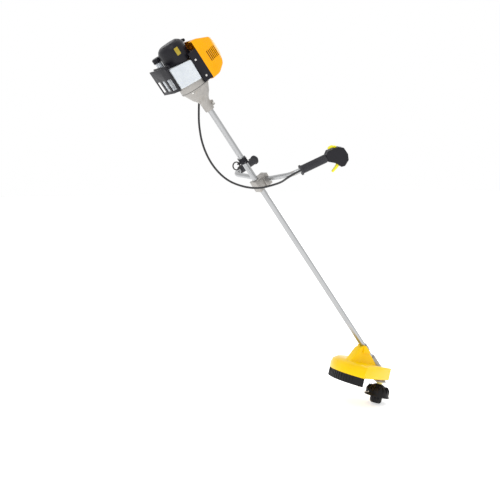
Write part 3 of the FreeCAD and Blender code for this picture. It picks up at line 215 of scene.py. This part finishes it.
def dressed(node, finish, ease=0.0):
    """The drawn part itself, its surfaces joined up and shaded smooth and its edges eased."""
    piece = bpy.data.objects.new(node + "_finished", frame["nodes"][node].data.copy())
    bpy.context.collection.objects.link(piece)
    work = bmesh.new()
    work.from_mesh(piece.data)
    bmesh.ops.remove_doubles(work, verts=work.verts, dist=WELD)
    bmesh.ops.dissolve_limit(work, angle_limit=FLATNESS, verts=work.verts, edges=work.edges)
    work.to_mesh(piece.data)
    work.free()
    if ease:
        modify(piece, "BEVEL", width=ease, segments=2, limit_method="ANGLE", angle_limit=EASED_ANGLE)
    smoothed(piece, SMOOTH_BELOW)
    finish_piece(piece, finish, BODY_OF[node], SLOT_OF[node], node)


def new_finish(name):
    """A material, its shader, and the place on the piece in metres."""
    finish = bpy.data.materials.new(name)
    finish.use_nodes = True
    tree = finish.node_tree
    return finish, tree.nodes["Principled BSDF"], Wire(tree).node("TexCoord", output="Object")


def wear(place, scale, detail=3.0, roughness=0.6):
    """Soft uneven noise of 0 to 1, at so many blotches to the metre."""
    inputs = {"Vector": place, "Scale": scale, "Detail": detail, "Roughness": roughness}
    return place.node("TexNoise", inputs=inputs)


def surface(shader, colour, shade, roughness, relief=None, depth=None, **fixed):
    """Plugs a varying colour and roughness and a relief into the shader; the rest is set once."""
    tree = shader.id_data
    tree.links.new(shade.blend(colour[0], colour[1]).socket, shader.inputs["Base Color"])
    tree.links.new(roughness.socket, shader.inputs["Roughness"])
    if relief:
        bump = relief.node("Bump", inputs={"Height": relief, "Distance": depth, "Strength": 1.0})
        tree.links.new(bump.socket, shader.inputs["Normal"])
    for name, value in fixed.items():
        shader.inputs[name.replace("_", " ")].default_value = value


def rgb(red, green, blue):
    return (red, green, blue, 1.0)


tube_alloy, shader, place = new_finish("tube_alloy")
TUBE_AIM = (0.0, SHAFT_LEAN, 0.0)
straight = place.node("Mapping", {"vector_type": "TEXTURE"}, {"Vector": place, "Rotation": TUBE_AIM})
drawn = place.node("Mapping", inputs={"Vector": straight, "Scale": (3.0, 260.0, 260.0)})
marks = wear(drawn, 6.0, 4.0)
stain = wear(place, 9.0)
surface(shader, (rgb(0.30, 0.305, 0.31), rgb(0.50, 0.505, 0.51)), marks * 0.6 + stain * 0.4,
        marks * 0.16 + stain * 0.10 + 0.16, marks, 0.00002, Metallic=1.0)

steel, shader, place = new_finish("steel")
turned = wear(place, 240.0, 2.0)
surface(shader, (rgb(0.46, 0.45, 0.44), rgb(0.66, 0.65, 0.64)), turned, turned * 0.2 + 0.22,
        turned, 0.00002, Metallic=1.0)

oil_bush, shader, place = new_finish("oil_bush")
sleeve = wear(place, 300.0)
surface(shader, (rgb(0.012, 0.012, 0.012), rgb(0.03, 0.03, 0.03)), sleeve,
        sleeve * 0.2 + 0.6, sleeve, 0.00004)

dressed("shaft_tube", tube_alloy)
dressed("shaft_bushes", oil_bush)
dressed("drive_shaft", steel)

# ---- Clutch and fan housings ----
# Two sand-bright pressure castings bolted flange to flange with four socket screws. The cone holds
# the clutch drum's bearing and grips the tube in a split neck with a pinch bolt.

cast_alloy, shader, place = new_finish("cast_alloy")
skin = wear(place, 620.0, 4.0, 0.7)
flow = wear(place, 28.0, 3.0)
surface(shader, (rgb(0.20, 0.19, 0.18), rgb(0.52, 0.50, 0.47)), skin * 0.5 + flow * 0.5,
        skin * 0.2 + flow * 0.15 + 0.30, skin, 0.00009, Metallic=0.85)

zinc_screw, shader, place = new_finish("zinc_screw")
plating = wear(place, 180.0)
surface(shader, (rgb(0.62, 0.61, 0.58), rgb(0.80, 0.79, 0.76)), plating, plating * 0.15 + 0.22,
        plating, 0.00002, Metallic=1.0)

for node in ("clutch_housing", "fan_housing"):
    dressed(node, cast_alloy, 0.0006)
for node in ("drum_bearing", "clutch_drum", "clutch_shoes", "crank_bearings", "crankshaft"):
    dressed(node, steel)
for node in ("engine_screws", "clamp_bolts"):
    dressed(node, zinc_screw)

# ---- Crankcase, cylinder and ignition ----
# The two-stroke itself: a split alloy crankcase, a finned cylinder with its exhaust box, the plug
# under a rubber cap and a vaned flywheel. Heat has blackened the exhaust box.

heat_black, shader, place = new_finish("heat_black")
scale_marks = wear(place, 150.0, 4.0, 0.7)
surface(shader, (rgb(0.012, 0.011, 0.010), rgb(0.05, 0.045, 0.04)), scale_marks,
        scale_marks * 0.25 + 0.45, scale_marks, 0.00006, Metallic=0.3)

ceramic_plug, shader, place = new_finish("ceramic_plug")
glaze = wear(place, 90.0)
surface(shader, (rgb(0.70, 0.69, 0.66), rgb(0.86, 0.85, 0.82)), glaze, glaze * 0.1 + 0.2)

cable_black, shader, place = new_finish("cable_black")
jacket = wear(place, 420.0, 3.0)
surface(shader, (rgb(0.006, 0.006, 0.007), rgb(0.018, 0.018, 0.019)), jacket,
        jacket * 0.2 + 0.32, jacket, 0.00003)

for node in ("crankcase_front", "crankcase_rear", "cylinder", "piston", "flywheel"):
    dressed(node, cast_alloy)
dressed("muffler", heat_black, 0.0008)
dressed("spark_plug", ceramic_plug)
dressed("plug_cap", cable_black, 0.0008)

# A thin black gasket shows as a dark line at each end of the fan housing.
GASKET_RADIUS, GASKET_BEAD = 0.0658, 0.0009


def settle(piece, bench):
    """Takes a piece from the bench frame it was shaped in to its place on the machine."""
    piece.data.transform(bench @ piece.matrix_world)
    piece.matrix_world = Matrix()


def bead_ring(name, radius, bead, steps, place, bench):
    """A round ring whose axis is x."""
    bpy.ops.object.select_all(action="DESELECT")
    bpy.ops.mesh.primitive_torus_add(major_radius=radius, minor_radius=bead, major_segments=steps,
                                     minor_segments=10, location=place, rotation=(0, math.pi / 2, 0))
    piece = bpy.context.object
    piece.name = name
    smoothed(piece, 60)
    settle(piece, bench)
    return piece


for name, station in (("cone_gasket", -0.118), ("fan_gasket", -0.152)):
    gasket = bead_ring(name, GASKET_RADIUS, GASKET_BEAD, 96, (station, 0, 0), MACHINE)
    finish_piece(gasket, cable_black, "frame", "cable_black")

# ---- Top cover and side shroud ----
# The yellow cover is one deep moulding over the cylinder, with louvres on its right flank and cooling
# slots on its shoulder. The black shroud below it closes the sides round the crankcase.

yellow_cover, shader, place = new_finish("yellow_cover")
peel = wear(place, 360.0, 2.0)
dust = wear(place, 16.0, 4.0)
surface(shader, (rgb(0.80, 0.31, 0.0), rgb(0.93, 0.42, 0.001)), dust,
        dust * 0.16 + peel * 0.06 + 0.24, peel, 0.00003, Specular_IOR_Level=0.14, Coat_Weight=0.05)

black_plastic, shader, place = new_finish("black_plastic")
spark = wear(place, 900.0, 3.0, 0.7)
scuff = wear(place, 30.0, 4.0)
surface(shader, (rgb(0.004, 0.004, 0.006), rgb(0.012, 0.011, 0.016)), scuff,
        scuff * 0.2 + spark * 0.1 + 0.22, spark, 0.00005, Specular_IOR_Level=0.22)

COVER_LOW, COVER_HIGH = Vector((-0.285, -0.071, 0.063)), Vector((-0.110, 0.071, 0.172))
COVER_WALL = 0.0025
COVER_SLOPES = [((-0.285, 0, 0.085), (-0.073, 0, 0.032)), ((-0.253, 0, 0.158), (-0.014, 0, 0.024)),
                ((-0.176, 0, 0.172), (0.026, 0, 0.042)), ((-0.134, 0, 0.146), (0.043, 0, 0.024))]
COVER_FLANKS = [((0, 0.071, 0.063), (0, 0.050, 0.003)), ((0, 0.068, 0.113), (0, 0.037, 0.010)),
                ((0, 0.058, 0.150), (0, 0.022, 0.026))]
COVER_ROUNDING = 0.012
LOUVRE_COUNT, LOUVRE_STEP, LOUVRE_FOOT, LOUVRE_GAP = 6, 0.009, 0.034, 0.0046
SHOULDER_SPREAD, SHOULDER_FOOT, SHOULDER_GAP = 1.2, 0.024, 0.0050


def starting_block(name, low, high):
    """A block between two corners, ready to be shaped."""
    bpy.ops.object.select_all(action="DESELECT")
    low, high = Vector(low), Vector(high)
    bpy.ops.mesh.primitive_cube_add(size=1, location=(low + high) / 2)
    piece = bpy.context.object
    piece.name = name
    piece.scale = high - low
    bpy.ops.object.transform_apply(location=True, rotation=False, scale=True)
    return piece


def pick(piece, kind, test):
    """In edit mode, selects the faces or edges whose middle and direction pass a test."""
    chosen(piece)
    bpy.ops.object.mode_set(mode="EDIT")
    bpy.ops.mesh.select_mode(type=kind)
    bpy.ops.mesh.select_all(action="DESELECT")
    work = bmesh.from_edit_mesh(piece.data)
    for item in work.faces if kind == "FACE" else work.edges:
        middle = sum((corner.co for corner in item.verts), Vector()) / len(item.verts)
        way = item.normal if kind == "FACE" else (item.verts[1].co - item.verts[0].co).normalized()
        if test(middle, way):
            item.select_set(True)
    bmesh.update_edit_mesh(piece.data)


def shaped():
    bpy.ops.object.mode_set(mode="OBJECT")


def planed(piece, cuts):
    """Planes a solid down: each cut is a point on the plane and the way the waste lies."""
    chosen(piece)
    bpy.ops.object.mode_set(mode="EDIT")
    for point, way in cuts:
        bpy.ops.mesh.select_all(action="SELECT")
        bpy.ops.mesh.bisect(plane_co=point, plane_no=way, use_fill=True, clear_outer=True)
    shaped()


def bored(piece, cutters):
    """Takes the cutters out of a solid, and throws the cutters away."""
    for cutter in cutters:
        modify(piece, "BOOLEAN", operation="DIFFERENCE", object=cutter, solver="EXACT")
        bpy.data.objects.remove(cutter)


def slot_cutter(low, high, thin):
    """A long cutter with rounded ends; `thin` names the axis it cuts through."""
    cutter = starting_block("slot_cutter", low, high)
    spans = Vector(high) - Vector(low)
    other = min(span for axis, span in enumerate(spans) if axis != thin)
    pick(cutter, "EDGE", lambda middle, way: abs(way[thin]) > 0.99)
    bpy.ops.mesh.bevel(offset=other * 0.49, segments=4)
    shaped()
    return cutter


def joined(pieces):
    """Several loose pieces as one mesh."""
    bpy.ops.object.select_all(action="DESELECT")
    for piece in pieces:
        piece.select_set(True)
    bpy.context.view_layer.objects.active = pieces[0]
    bpy.ops.object.join()
    return pieces[0]


cover = starting_block("cover_moulding", COVER_LOW, COVER_HIGH)
flanks = [((point[0], side * point[1], point[2]), (0, side * way[1], way[2]))
          for side in (1, -1) for point, way in COVER_FLANKS]
planed(cover, COVER_SLOPES + flanks)
pick(cover, "EDGE", lambda middle, way: middle.z > COVER_LOW.z + 0.001)
bpy.ops.mesh.bevel(offset=COVER_ROUNDING, segments=5, clamp_overlap=True)
shaped()
pick(cover, "FACE", lambda middle, way: way.z < -0.9)
bpy.ops.mesh.delete(type="FACE")
shaped()
modify(cover, "SOLIDIFY", thickness=COVER_WALL, offset=-1)
louvres = []
for index in range(LOUVRE_COUNT):
    lift = COVER_LOW.z + LOUVRE_FOOT + index * LOUVRE_STEP
    louvres.append(slot_cutter((-0.218, -0.080, lift), (-0.170, -0.043, lift + LOUVRE_GAP), 1))
    lift = COVER_LOW.z + SHOULDER_FOOT + index * LOUVRE_STEP * SHOULDER_SPREAD
    louvres.append(slot_cutter((-0.292, -0.056, lift), (-0.250, -0.038, lift + SHOULDER_GAP), 0))
bored(cover, [joined(louvres)])
bored(cover, [starting_block("carb_window", (-0.224, 0.058, 0.060), (-0.164, 0.080, 0.109)),
              starting_block("shoulder_notch", (-0.292, -0.040, 0.060), (-0.277, 0.044, 0.081))])
modify(cover, "BEVEL", width=0.0006, segments=2, limit_method="ANGLE", angle_limit=EASED_ANGLE)
smoothed(cover, 35)
settle(cover, MACHINE)
finish_piece(cover, yellow_cover, "frame", "yellow_cover", "top_cover")

dressed("side_shroud", black_plastic, 0.0010)

# ---- Fuel tank, cap and tank guard ----
# A blow-moulded tank of natural polyethylene, milky enough to show the fuel, hangs under the
# crankcase. Its black cap screws on a neck at the back, and a black slotted guard takes the knocks.

tank_white, shader, place = new_finish("tank_white")
milk = wear(place, 40.0, 3.0)
mould = wear(place, 520.0, 2.0)
surface(shader, (rgb(0.52, 0.56, 0.60), rgb(0.68, 0.71, 0.74)), milk,
        milk * 0.12 + mould * 0.08 + 0.30, mould, 0.00003, Subsurface_Weight=0.25,
        Subsurface_Radius=(0.012, 0.012, 0.014), Subsurface_Scale=0.5)

TANK_LOW, TANK_HIGH = Vector((-0.248, -0.071, -0.090)), Vector((-0.139, 0.071, 0.020))
TANK_SLOPES = [((-0.248, 0, -0.088), (-0.108, 0, 0.019)), ((-0.156, 0, -0.090), (0.107, 0, -0.017)),
               ((-0.229, 0, 0.020), (0.003, 0, 0.090)), ((-0.156, 0, -0.090), (-0.002, 0, -0.092))]
PANEL_INSET, PANEL_DEPTH, TANK_ROUNDING = 0.012, 0.0008, 0.0065


def round_cutter(radius, start, length, y=0.0, z=0.0):
    """A round cutter along x, from a start and for a length."""
    bpy.ops.object.select_all(action="DESELECT")
    bpy.ops.mesh.primitive_cylinder_add(vertices=64, radius=radius, depth=length,
                                        location=(start + length / 2, y, z), rotation=(0, math.pi / 2, 0))
    return bpy.context.object


tank = starting_block("tank_moulding", TANK_LOW, TANK_HIGH)
planed(tank, TANK_SLOPES)
for side in (1, -1):
    pick(tank, "FACE", lambda middle, way: way.y * side > 0.9)
    bpy.ops.mesh.inset(thickness=PANEL_INSET)
    bpy.ops.transform.translate(value=(0, -side * PANEL_DEPTH, 0))
    shaped()
pick(tank, "EDGE", lambda middle, way: abs(way.y) > 0.9 or abs(middle.y) > TANK_HIGH.y - 0.0002)
bpy.ops.mesh.bevel(offset=TANK_ROUNDING, segments=4, clamp_overlap=True)
shaped()
bored(tank, [starting_block("saddle", (-0.278, -0.042, -0.042), (-0.109, 0.042, 0.030)),
             round_cutter(0.067, -0.153, 0.090), round_cutter(0.061, -0.275, 0.040)])
neck = round_cutter(0.014, -0.292, 0.060, 0.054, -0.058)
modify(tank, "BOOLEAN", operation="UNION", object=neck, solver="EXACT")
bpy.data.objects.remove(neck)
modify(tank, "BEVEL", width=0.0010, segments=2, limit_method="ANGLE", angle_limit=EASED_ANGLE)
smoothed(tank, 35)
settle(tank, MACHINE)
finish_piece(tank, tank_white, "frame", "tank_white", "fuel_tank")

dressed("fuel_cap", black_plastic, 0.0006)
dressed("tank_guard", black_plastic, 0.0010)

# ---- Carburettor, air filter, primer and choke ----
# On the left: a small alloy carburettor with its bowl, a snap-on black filter box, a clear rubber
# primer bulb under the bowl and a bright choke lever on the box.

bulb_clear, shader, place = new_finish("bulb_clear")
haze = wear(place, 200.0)
surface(shader, (rgb(0.55, 0.42, 0.14), rgb(0.75, 0.62, 0.28)), haze, haze * 0.1 + 0.18,
        Transmission_Weight=0.5)

lever_yellow, shader, place = new_finish("lever_yellow")
grain = wear(place, 420.0)
surface(shader, (rgb(0.74, 0.66, 0.004), rgb(0.88, 0.80, 0.010)), grain, grain * 0.12 + 0.28,
        grain, 0.00002)

dressed("carburettor", cast_alloy, 0.0006)
dressed("air_filter_cover", black_plastic, 0.0010)
dressed("primer_bulb", bulb_clear)
dressed("choke_lever", lever_yellow, 0.0008)

# ---- Recoil starter ----
# A black moulded housing on the back of the crankcase. Inside is the rope's pulley; outside, a wing
# handle parks on top.

head_black, shader, place = new_finish("head_black")
dirt = wear(place, 60.0, 4.0)
pits = wear(place, 700.0, 3.0)
surface(shader, (rgb(0.003, 0.003, 0.004), rgb(0.012, 0.011, 0.011)), dirt,
        dirt * 0.2 + pits * 0.1 + 0.26, pits, 0.00004, Specular_IOR_Level=0.22)

badge_gold, shader, place = new_finish("badge_gold")
rub = wear(place, 120.0, 4.0)
surface(shader, (rgb(0.24, 0.17, 0.004), rgb(0.46, 0.34, 0.012)), rub, rub * 0.2 + 0.28, rub, 0.00003)

# The badge is a plain plate let into the drum, with nothing on it.
BADGE_TURN = math.radians(97)
badge = starting_block("starter_badge", (-0.302, -0.009, 0.0575), (-0.270, 0.009, 0.0612))
modify(badge, "BEVEL", width=0.0008, segments=3, limit_method="ANGLE", angle_limit=EASED_ANGLE)
badge.data.transform(Matrix.Rotation(BADGE_TURN, 4, "X"))
smoothed(badge, 35)
settle(badge, MACHINE)
finish_piece(badge, badge_gold, "frame", "yellow_cover")

dressed("starter_housing", black_plastic, 0.0010)
dressed("starter_pulley", head_black)
dressed("pull_handle", black_plastic, 0.0012)

# ---- Harness clamp and eye ----
# A two-part black clamp on the shaft with a swinging steel eye for the harness hook.

dressed("hanger_clamp", black_plastic, 0.0008)
dressed("hanger_ring", heat_black, 0.0008)

# ---- Handlebar, bracket and grips ----
# Two bent aluminium tubes held in a cast saddle by four cap screws. Each ends in a black ribbed
# rubber grip.

grip_rubber, shader, place = new_finish("grip_rubber")
knurl = wear(place, 520.0, 2.0)
wipe = wear(place, 24.0)
surface(shader, (rgb(0.022, 0.022, 0.026), rgb(0.050, 0.050, 0.056)), wipe,
        wipe * 0.15 + knurl * 0.15 + 0.42, knurl, 0.00008, Specular_IOR_Level=0.22)

dressed("handlebar_right", tube_alloy)
dressed("handlebar_left", tube_alloy)
dressed("handle_bracket", cast_alloy, 0.0010)
dressed("handle_cap", cast_alloy, 0.0010)
GRIP_WAY = Vector((0.023, -0.039, 0.119)).normalized()
GRIP_START = Vector((0.38183, -0.26027, 0.07850))
GRIP_FRONT = (Vector((1, 0, 0)) - GRIP_WAY * GRIP_WAY.x).normalized()
GRIP_SIDE = GRIP_WAY.cross(GRIP_FRONT)
GRIP_AXES = Matrix((GRIP_FRONT, GRIP_SIDE, GRIP_WAY)).transposed().to_4x4()
GRIP = MACHINE @ Matrix.Translation(GRIP_START) @ GRIP_AXES
LEFT_GRIP = MACHINE @ Matrix.Diagonal((1, -1, 1, 1)) @ MACHINE.inverted() @ GRIP
GRIP_LENGTH, GRIP_BORE, GRIP_OUTSIDE, COLLAR = 0.122, 0.0111, 0.0185, 0.0225
RIB_COUNT, GRIP_PLAIN = 17, 0.016
LATHE_STEPS, LATHE_WELD = 64, 0.00001


def spun(name, profile):
    """A closed turned shape about z from (radius, height) corners, as on a lathe."""
    points = [(radius, 0, height) for radius, height in profile]
    edges = [(index, (index + 1) % len(profile)) for index in range(len(profile))]
    piece = plain_mesh(name, points, edges, [])
    chosen(piece)
    bpy.ops.object.mode_set(mode="EDIT")
    bpy.ops.mesh.select_all(action="SELECT")
    bpy.ops.mesh.spin(steps=LATHE_STEPS, angle=2 * math.pi, center=(0, 0, 0), axis=(0, 0, 1))
    bpy.ops.mesh.select_all(action="SELECT")
    bpy.ops.mesh.remove_doubles(threshold=LATHE_WELD)
    bpy.ops.mesh.dissolve_degenerate(threshold=LATHE_WELD)
    bpy.ops.mesh.normals_make_consistent(inside=False)
    shaped()
    return piece


def grip_profile(collar_first):
    """A ribbed sleeve: a collar at one end and round-topped ribs along the rest."""
    step = (GRIP_LENGTH - GRIP_PLAIN) / RIB_COUNT
    points = [(GRIP_BORE, 0.0), (COLLAR, 0.0), (COLLAR, 0.005), (COLLAR - 0.001, 0.006),
              (GRIP_OUTSIDE - 0.001, 0.007)]
    for index in range(RIB_COUNT):
        height = 0.0075 + index * step
        points += [(GRIP_OUTSIDE - 0.0012, height), (GRIP_OUTSIDE - 0.0012, height + 0.3 * step),
                   (GRIP_OUTSIDE - 0.0002, height + 0.42 * step), (GRIP_OUTSIDE, height + 0.65 * step),
                   (GRIP_OUTSIDE - 0.0002, height + 0.88 * step)]
    points += [(GRIP_OUTSIDE - 0.0008, GRIP_LENGTH - 0.003), (GRIP_OUTSIDE - 0.003, GRIP_LENGTH),
               (GRIP_BORE, GRIP_LENGTH)]
    if not collar_first:
        points = [(radius, GRIP_LENGTH - height) for radius, height in reversed(points)]
    return points


for side, bench, collar_first in (("right", GRIP, True), ("left", LEFT_GRIP, False)):
    grip = spun(side + "_grip_sleeve", grip_profile(collar_first))
    settle(grip, bench)
    if side == "left":
        grip.data.flip_normals()
    smoothed(grip, 40)
    finish_piece(grip, grip_rubber, "frame", "grip_rubber", side + "_grip")

# ---- Throttle ----
# A two-part black shell on the right grip's end, with a yellow trigger, a yellow lockout behind it
# and a small stop switch on its inner side.

dressed("throttle_shell_inner", black_plastic, 0.0010)
dressed("throttle_shell_outer", black_plastic, 0.0010)
dressed("throttle_trigger", lever_yellow, 0.0010)
dressed("lockout_lever", lever_yellow, 0.0010)
dressed("stop_switch", heat_black, 0.0005)

# ---- Throttle cable ----
# A 9 mm black jacket round the throttle wire and the stop switch's leads. It leaves the carburettor,
# hangs in one long loop under the shaft and climbs the handlebar into the throttle shell.

CABLE_ROUTE = [
    (-0.177, 0.078, 0.092), (-0.137, 0.078, 0.092), (-0.095, 0.080, 0.062), (-0.058, 0.072, 0.025),
    (-0.021, 0.060, -0.014), (0.034, 0.040, -0.068), (0.108, 0.020, -0.114), (0.192, -0.005, -0.138),
    (0.275, -0.030, -0.132), (0.338, -0.060, -0.098), (0.380, -0.100, -0.055), (0.393, -0.150, -0.010),
    (0.388, -0.200, 0.004), (0.373, -0.246, 0.016), (0.37239, -0.26905, 0.05070),
    (0.37691, -0.27671, 0.07407)]
CABLE_LENGTH, CABLE_WIDTH = 0.9245, 0.009


def smooth_line(name, points, radius):
    """A round cord on one NURBS spline through the pull of its points."""
    line = bpy.data.curves.new(name, "CURVE")
    line.dimensions = "3D"
    line.bevel_depth = radius
    line.bevel_resolution = 5
    line.use_fill_caps = True
    spline = line.splines.new("NURBS")
    spline.points.add(len(points) - 1)
    for knot, point in zip(spline.points, points):
        knot.co = (*point, 1.0)
    spline.order_u = 3
    spline.use_endpoint_u = True
    spline.resolution_u = 12
    piece = bpy.data.objects.new(name, line)
    bpy.context.collection.objects.link(piece)
    return piece


cable_points = [MACHINE @ Vector(point) for point in CABLE_ROUTE]
cable = smooth_line("throttle_cable_jacket", cable_points, CABLE_WIDTH / 2)
finish_piece(cable, cable_black, "frame", "cable_black", "throttle_cable")

# ---- Gearbox ----
# A cast bevel gear case clamped on the shaft's foot. The spindle comes out below between a brass
# flange and a steel one that centre the cutting head.

brass, shader, place = new_finish("brass")
tarnish = wear(place, 120.0)
surface(shader, (rgb(0.55, 0.46, 0.16), rgb(0.76, 0.66, 0.28)), tarnish, tarnish * 0.2 + 0.24, Metallic=1.0)

dressed("gearbox_housing", cast_alloy, 0.0008)
for node in ("pinion_gear", "output_spindle", "gearbox_bearings"):
    dressed(node, steel)
dressed("flange_washers", brass, 0.0005)

# ---- Cutting head ----
# A bump-feed head: a flared black shell, the spool of line inside, a spring over the spindle, and a
# grooved knob underneath. Two 2.4 mm nylon lines come out through the rim.

HEAD_TOP, HEAD_FOOT, HEAD_RADIUS, FIN_COUNT = -0.052, -0.114, 0.063, 16
LINE_EXIT, EXIT_RADIUS = -0.098, 0.0035
EYELET_PLACE, EYELET_RADIUS, EYELET_BEAD = 0.0588, 0.0028, 0.0009
head_shell = spun("head_shell", [
    (0.0052, HEAD_TOP), (0.017, HEAD_TOP), (0.018, HEAD_TOP - 0.0006), (0.0246, HEAD_TOP - 0.004),
    (0.030, HEAD_TOP - 0.0068), (0.039, -0.064), (0.048, -0.0705), (0.0545, -0.078), (0.0575, -0.090),
    (0.059, -0.102), (0.0605, -0.106), (HEAD_RADIUS, -0.1095), (HEAD_RADIUS, -0.1132), (0.0624, HEAD_FOOT),
    (0.0604, HEAD_FOOT), (0.0600, -0.1135), (0.056, -0.102), (0.052, -0.080),
    (0.037, -0.067), (0.024, -0.060), (0.0052, -0.060)])
fins = []
for index in range(FIN_COUNT):
    fin = starting_block("fin", (0.030, -0.0013, -0.094), (0.0592, 0.0013, -0.0625))
    planed(fin, [((0.0592, 0, -0.080), (0.020, 0, 0.012)), ((0.048, 0, -0.0665), (0.010, 0, 0.014))])
    fin.data.transform(Matrix.Rotation(2 * math.pi * (index + 0.5) / FIN_COUNT, 4, "Z"))
    fins.append(fin)
bored(head_shell, [round_cutter(EXIT_RADIUS, -0.070, 0.140, 0.0, LINE_EXIT)])
head_shell = joined([head_shell] + fins)
modify(head_shell, "BEVEL", width=0.0005, segments=2, limit_method="ANGLE", angle_limit=TURNED_ANGLE)
smoothed(head_shell, 35)
settle(head_shell, HEAD)
finish_piece(head_shell, head_black, "head", "head_black", "head_housing")

for side, label in ((1, "front"), (-1, "back")):
    eyelet = bead_ring("line_eyelet_" + label, EYELET_RADIUS, EYELET_BEAD, 32,
                       (side * EYELET_PLACE, 0, LINE_EXIT), HEAD)
    finish_piece(eyelet, zinc_screw, "head", "zinc_screw")

KNOB_TOP, KNOB_FOOT = -0.108, -0.148
GROOVE_COUNT, GROOVE_REACH, GROOVE_MIDDLE, GROOVE_RADIUS, GROOVE_LENGTH = 10, 0.0330, -0.1290, 0.0048, 0.024
knob = spun("bump_knob_body", [
    (0.016, KNOB_TOP), (0.024, KNOB_TOP), (0.024, -0.114), (0.0285, -0.1165), (0.030, -0.119),
    (0.030, -0.136), (0.0285, -0.142), (0.025, -0.1465), (0.0225, KNOB_FOOT), (0.0, KNOB_FOOT),
    (0.0, -0.143), (0.016, -0.143)])
grooves = []
for index in range(GROOVE_COUNT):
    turn = 2 * math.pi * (index + 0.5) / GROOVE_COUNT
    bpy.ops.object.select_all(action="DESELECT")
    spot = (GROOVE_REACH * math.cos(turn), GROOVE_REACH * math.sin(turn), GROOVE_MIDDLE)
    bpy.ops.mesh.primitive_cylinder_add(vertices=24, radius=GROOVE_RADIUS, depth=GROOVE_LENGTH, location=spot)
    grooves.append(bpy.context.object)
bored(knob, [joined(grooves)])
modify(knob, "BEVEL", width=0.0006, segments=2, limit_method="ANGLE", angle_limit=TURNED_ANGLE)
smoothed(knob, 35)
settle(knob, HEAD)
finish_piece(knob, head_black, "bump_knob", "head_black", "bump_knob")
dressed("line_spool", head_black)
dressed("bump_spring", steel)

nylon_line, shader, place = new_finish("nylon_line")
cloud = wear(place, 160.0)
surface(shader, (rgb(0.62, 0.60, 0.52), rgb(0.80, 0.78, 0.70)), cloud, cloud * 0.1 + 0.25,
        Subsurface_Weight=0.2, Subsurface_Radius=(0.002, 0.002, 0.002))

LINE_ROUTE = [(0.053, 0, LINE_EXIT), (0.070, 0, -0.101), (0.090, 0, -0.102), (0.112, 0, -0.093),
              (0.138, 0, -0.076), (0.172, 0, -0.058), (0.212, 0, -0.038)]
LINE_LENGTH, LINE_WIDTH = 0.1749, 0.0024
for side, label in ((1, "front"), (-1, "back")):
    line_points = [HEAD @ Vector((side * x, side * y, z)) for x, y, z in LINE_ROUTE]
    line = smooth_line("cutting_line_" + label, line_points, LINE_WIDTH / 2)
    finish_piece(line, nylon_line, "head", "nylon_line", "cutting_lines")

# ---- Guard ----
# A broad yellow guard bolted under the shaft, with a black ribbed skirt clipped to its rim and a
# steel blade on the skirt that trims the line to length.

guard_yellow, shader, place = new_finish("guard_yellow")
gloss = wear(place, 300.0, 2.0)
soil = wear(place, 12.0, 4.0)
surface(shader, (rgb(0.84, 0.52, 0.0), rgb(0.95, 0.62, 0.001)), soil,
        soil * 0.14 + gloss * 0.06 + 0.20, gloss, 0.00003, Coat_Weight=0.05, Specular_IOR_Level=0.14)

dressed("guard", guard_yellow, 0.0012)
dressed("guard_skirt", head_black)
dressed("line_cutter", steel)
dressed("guard_clamp", cast_alloy, 0.0008)
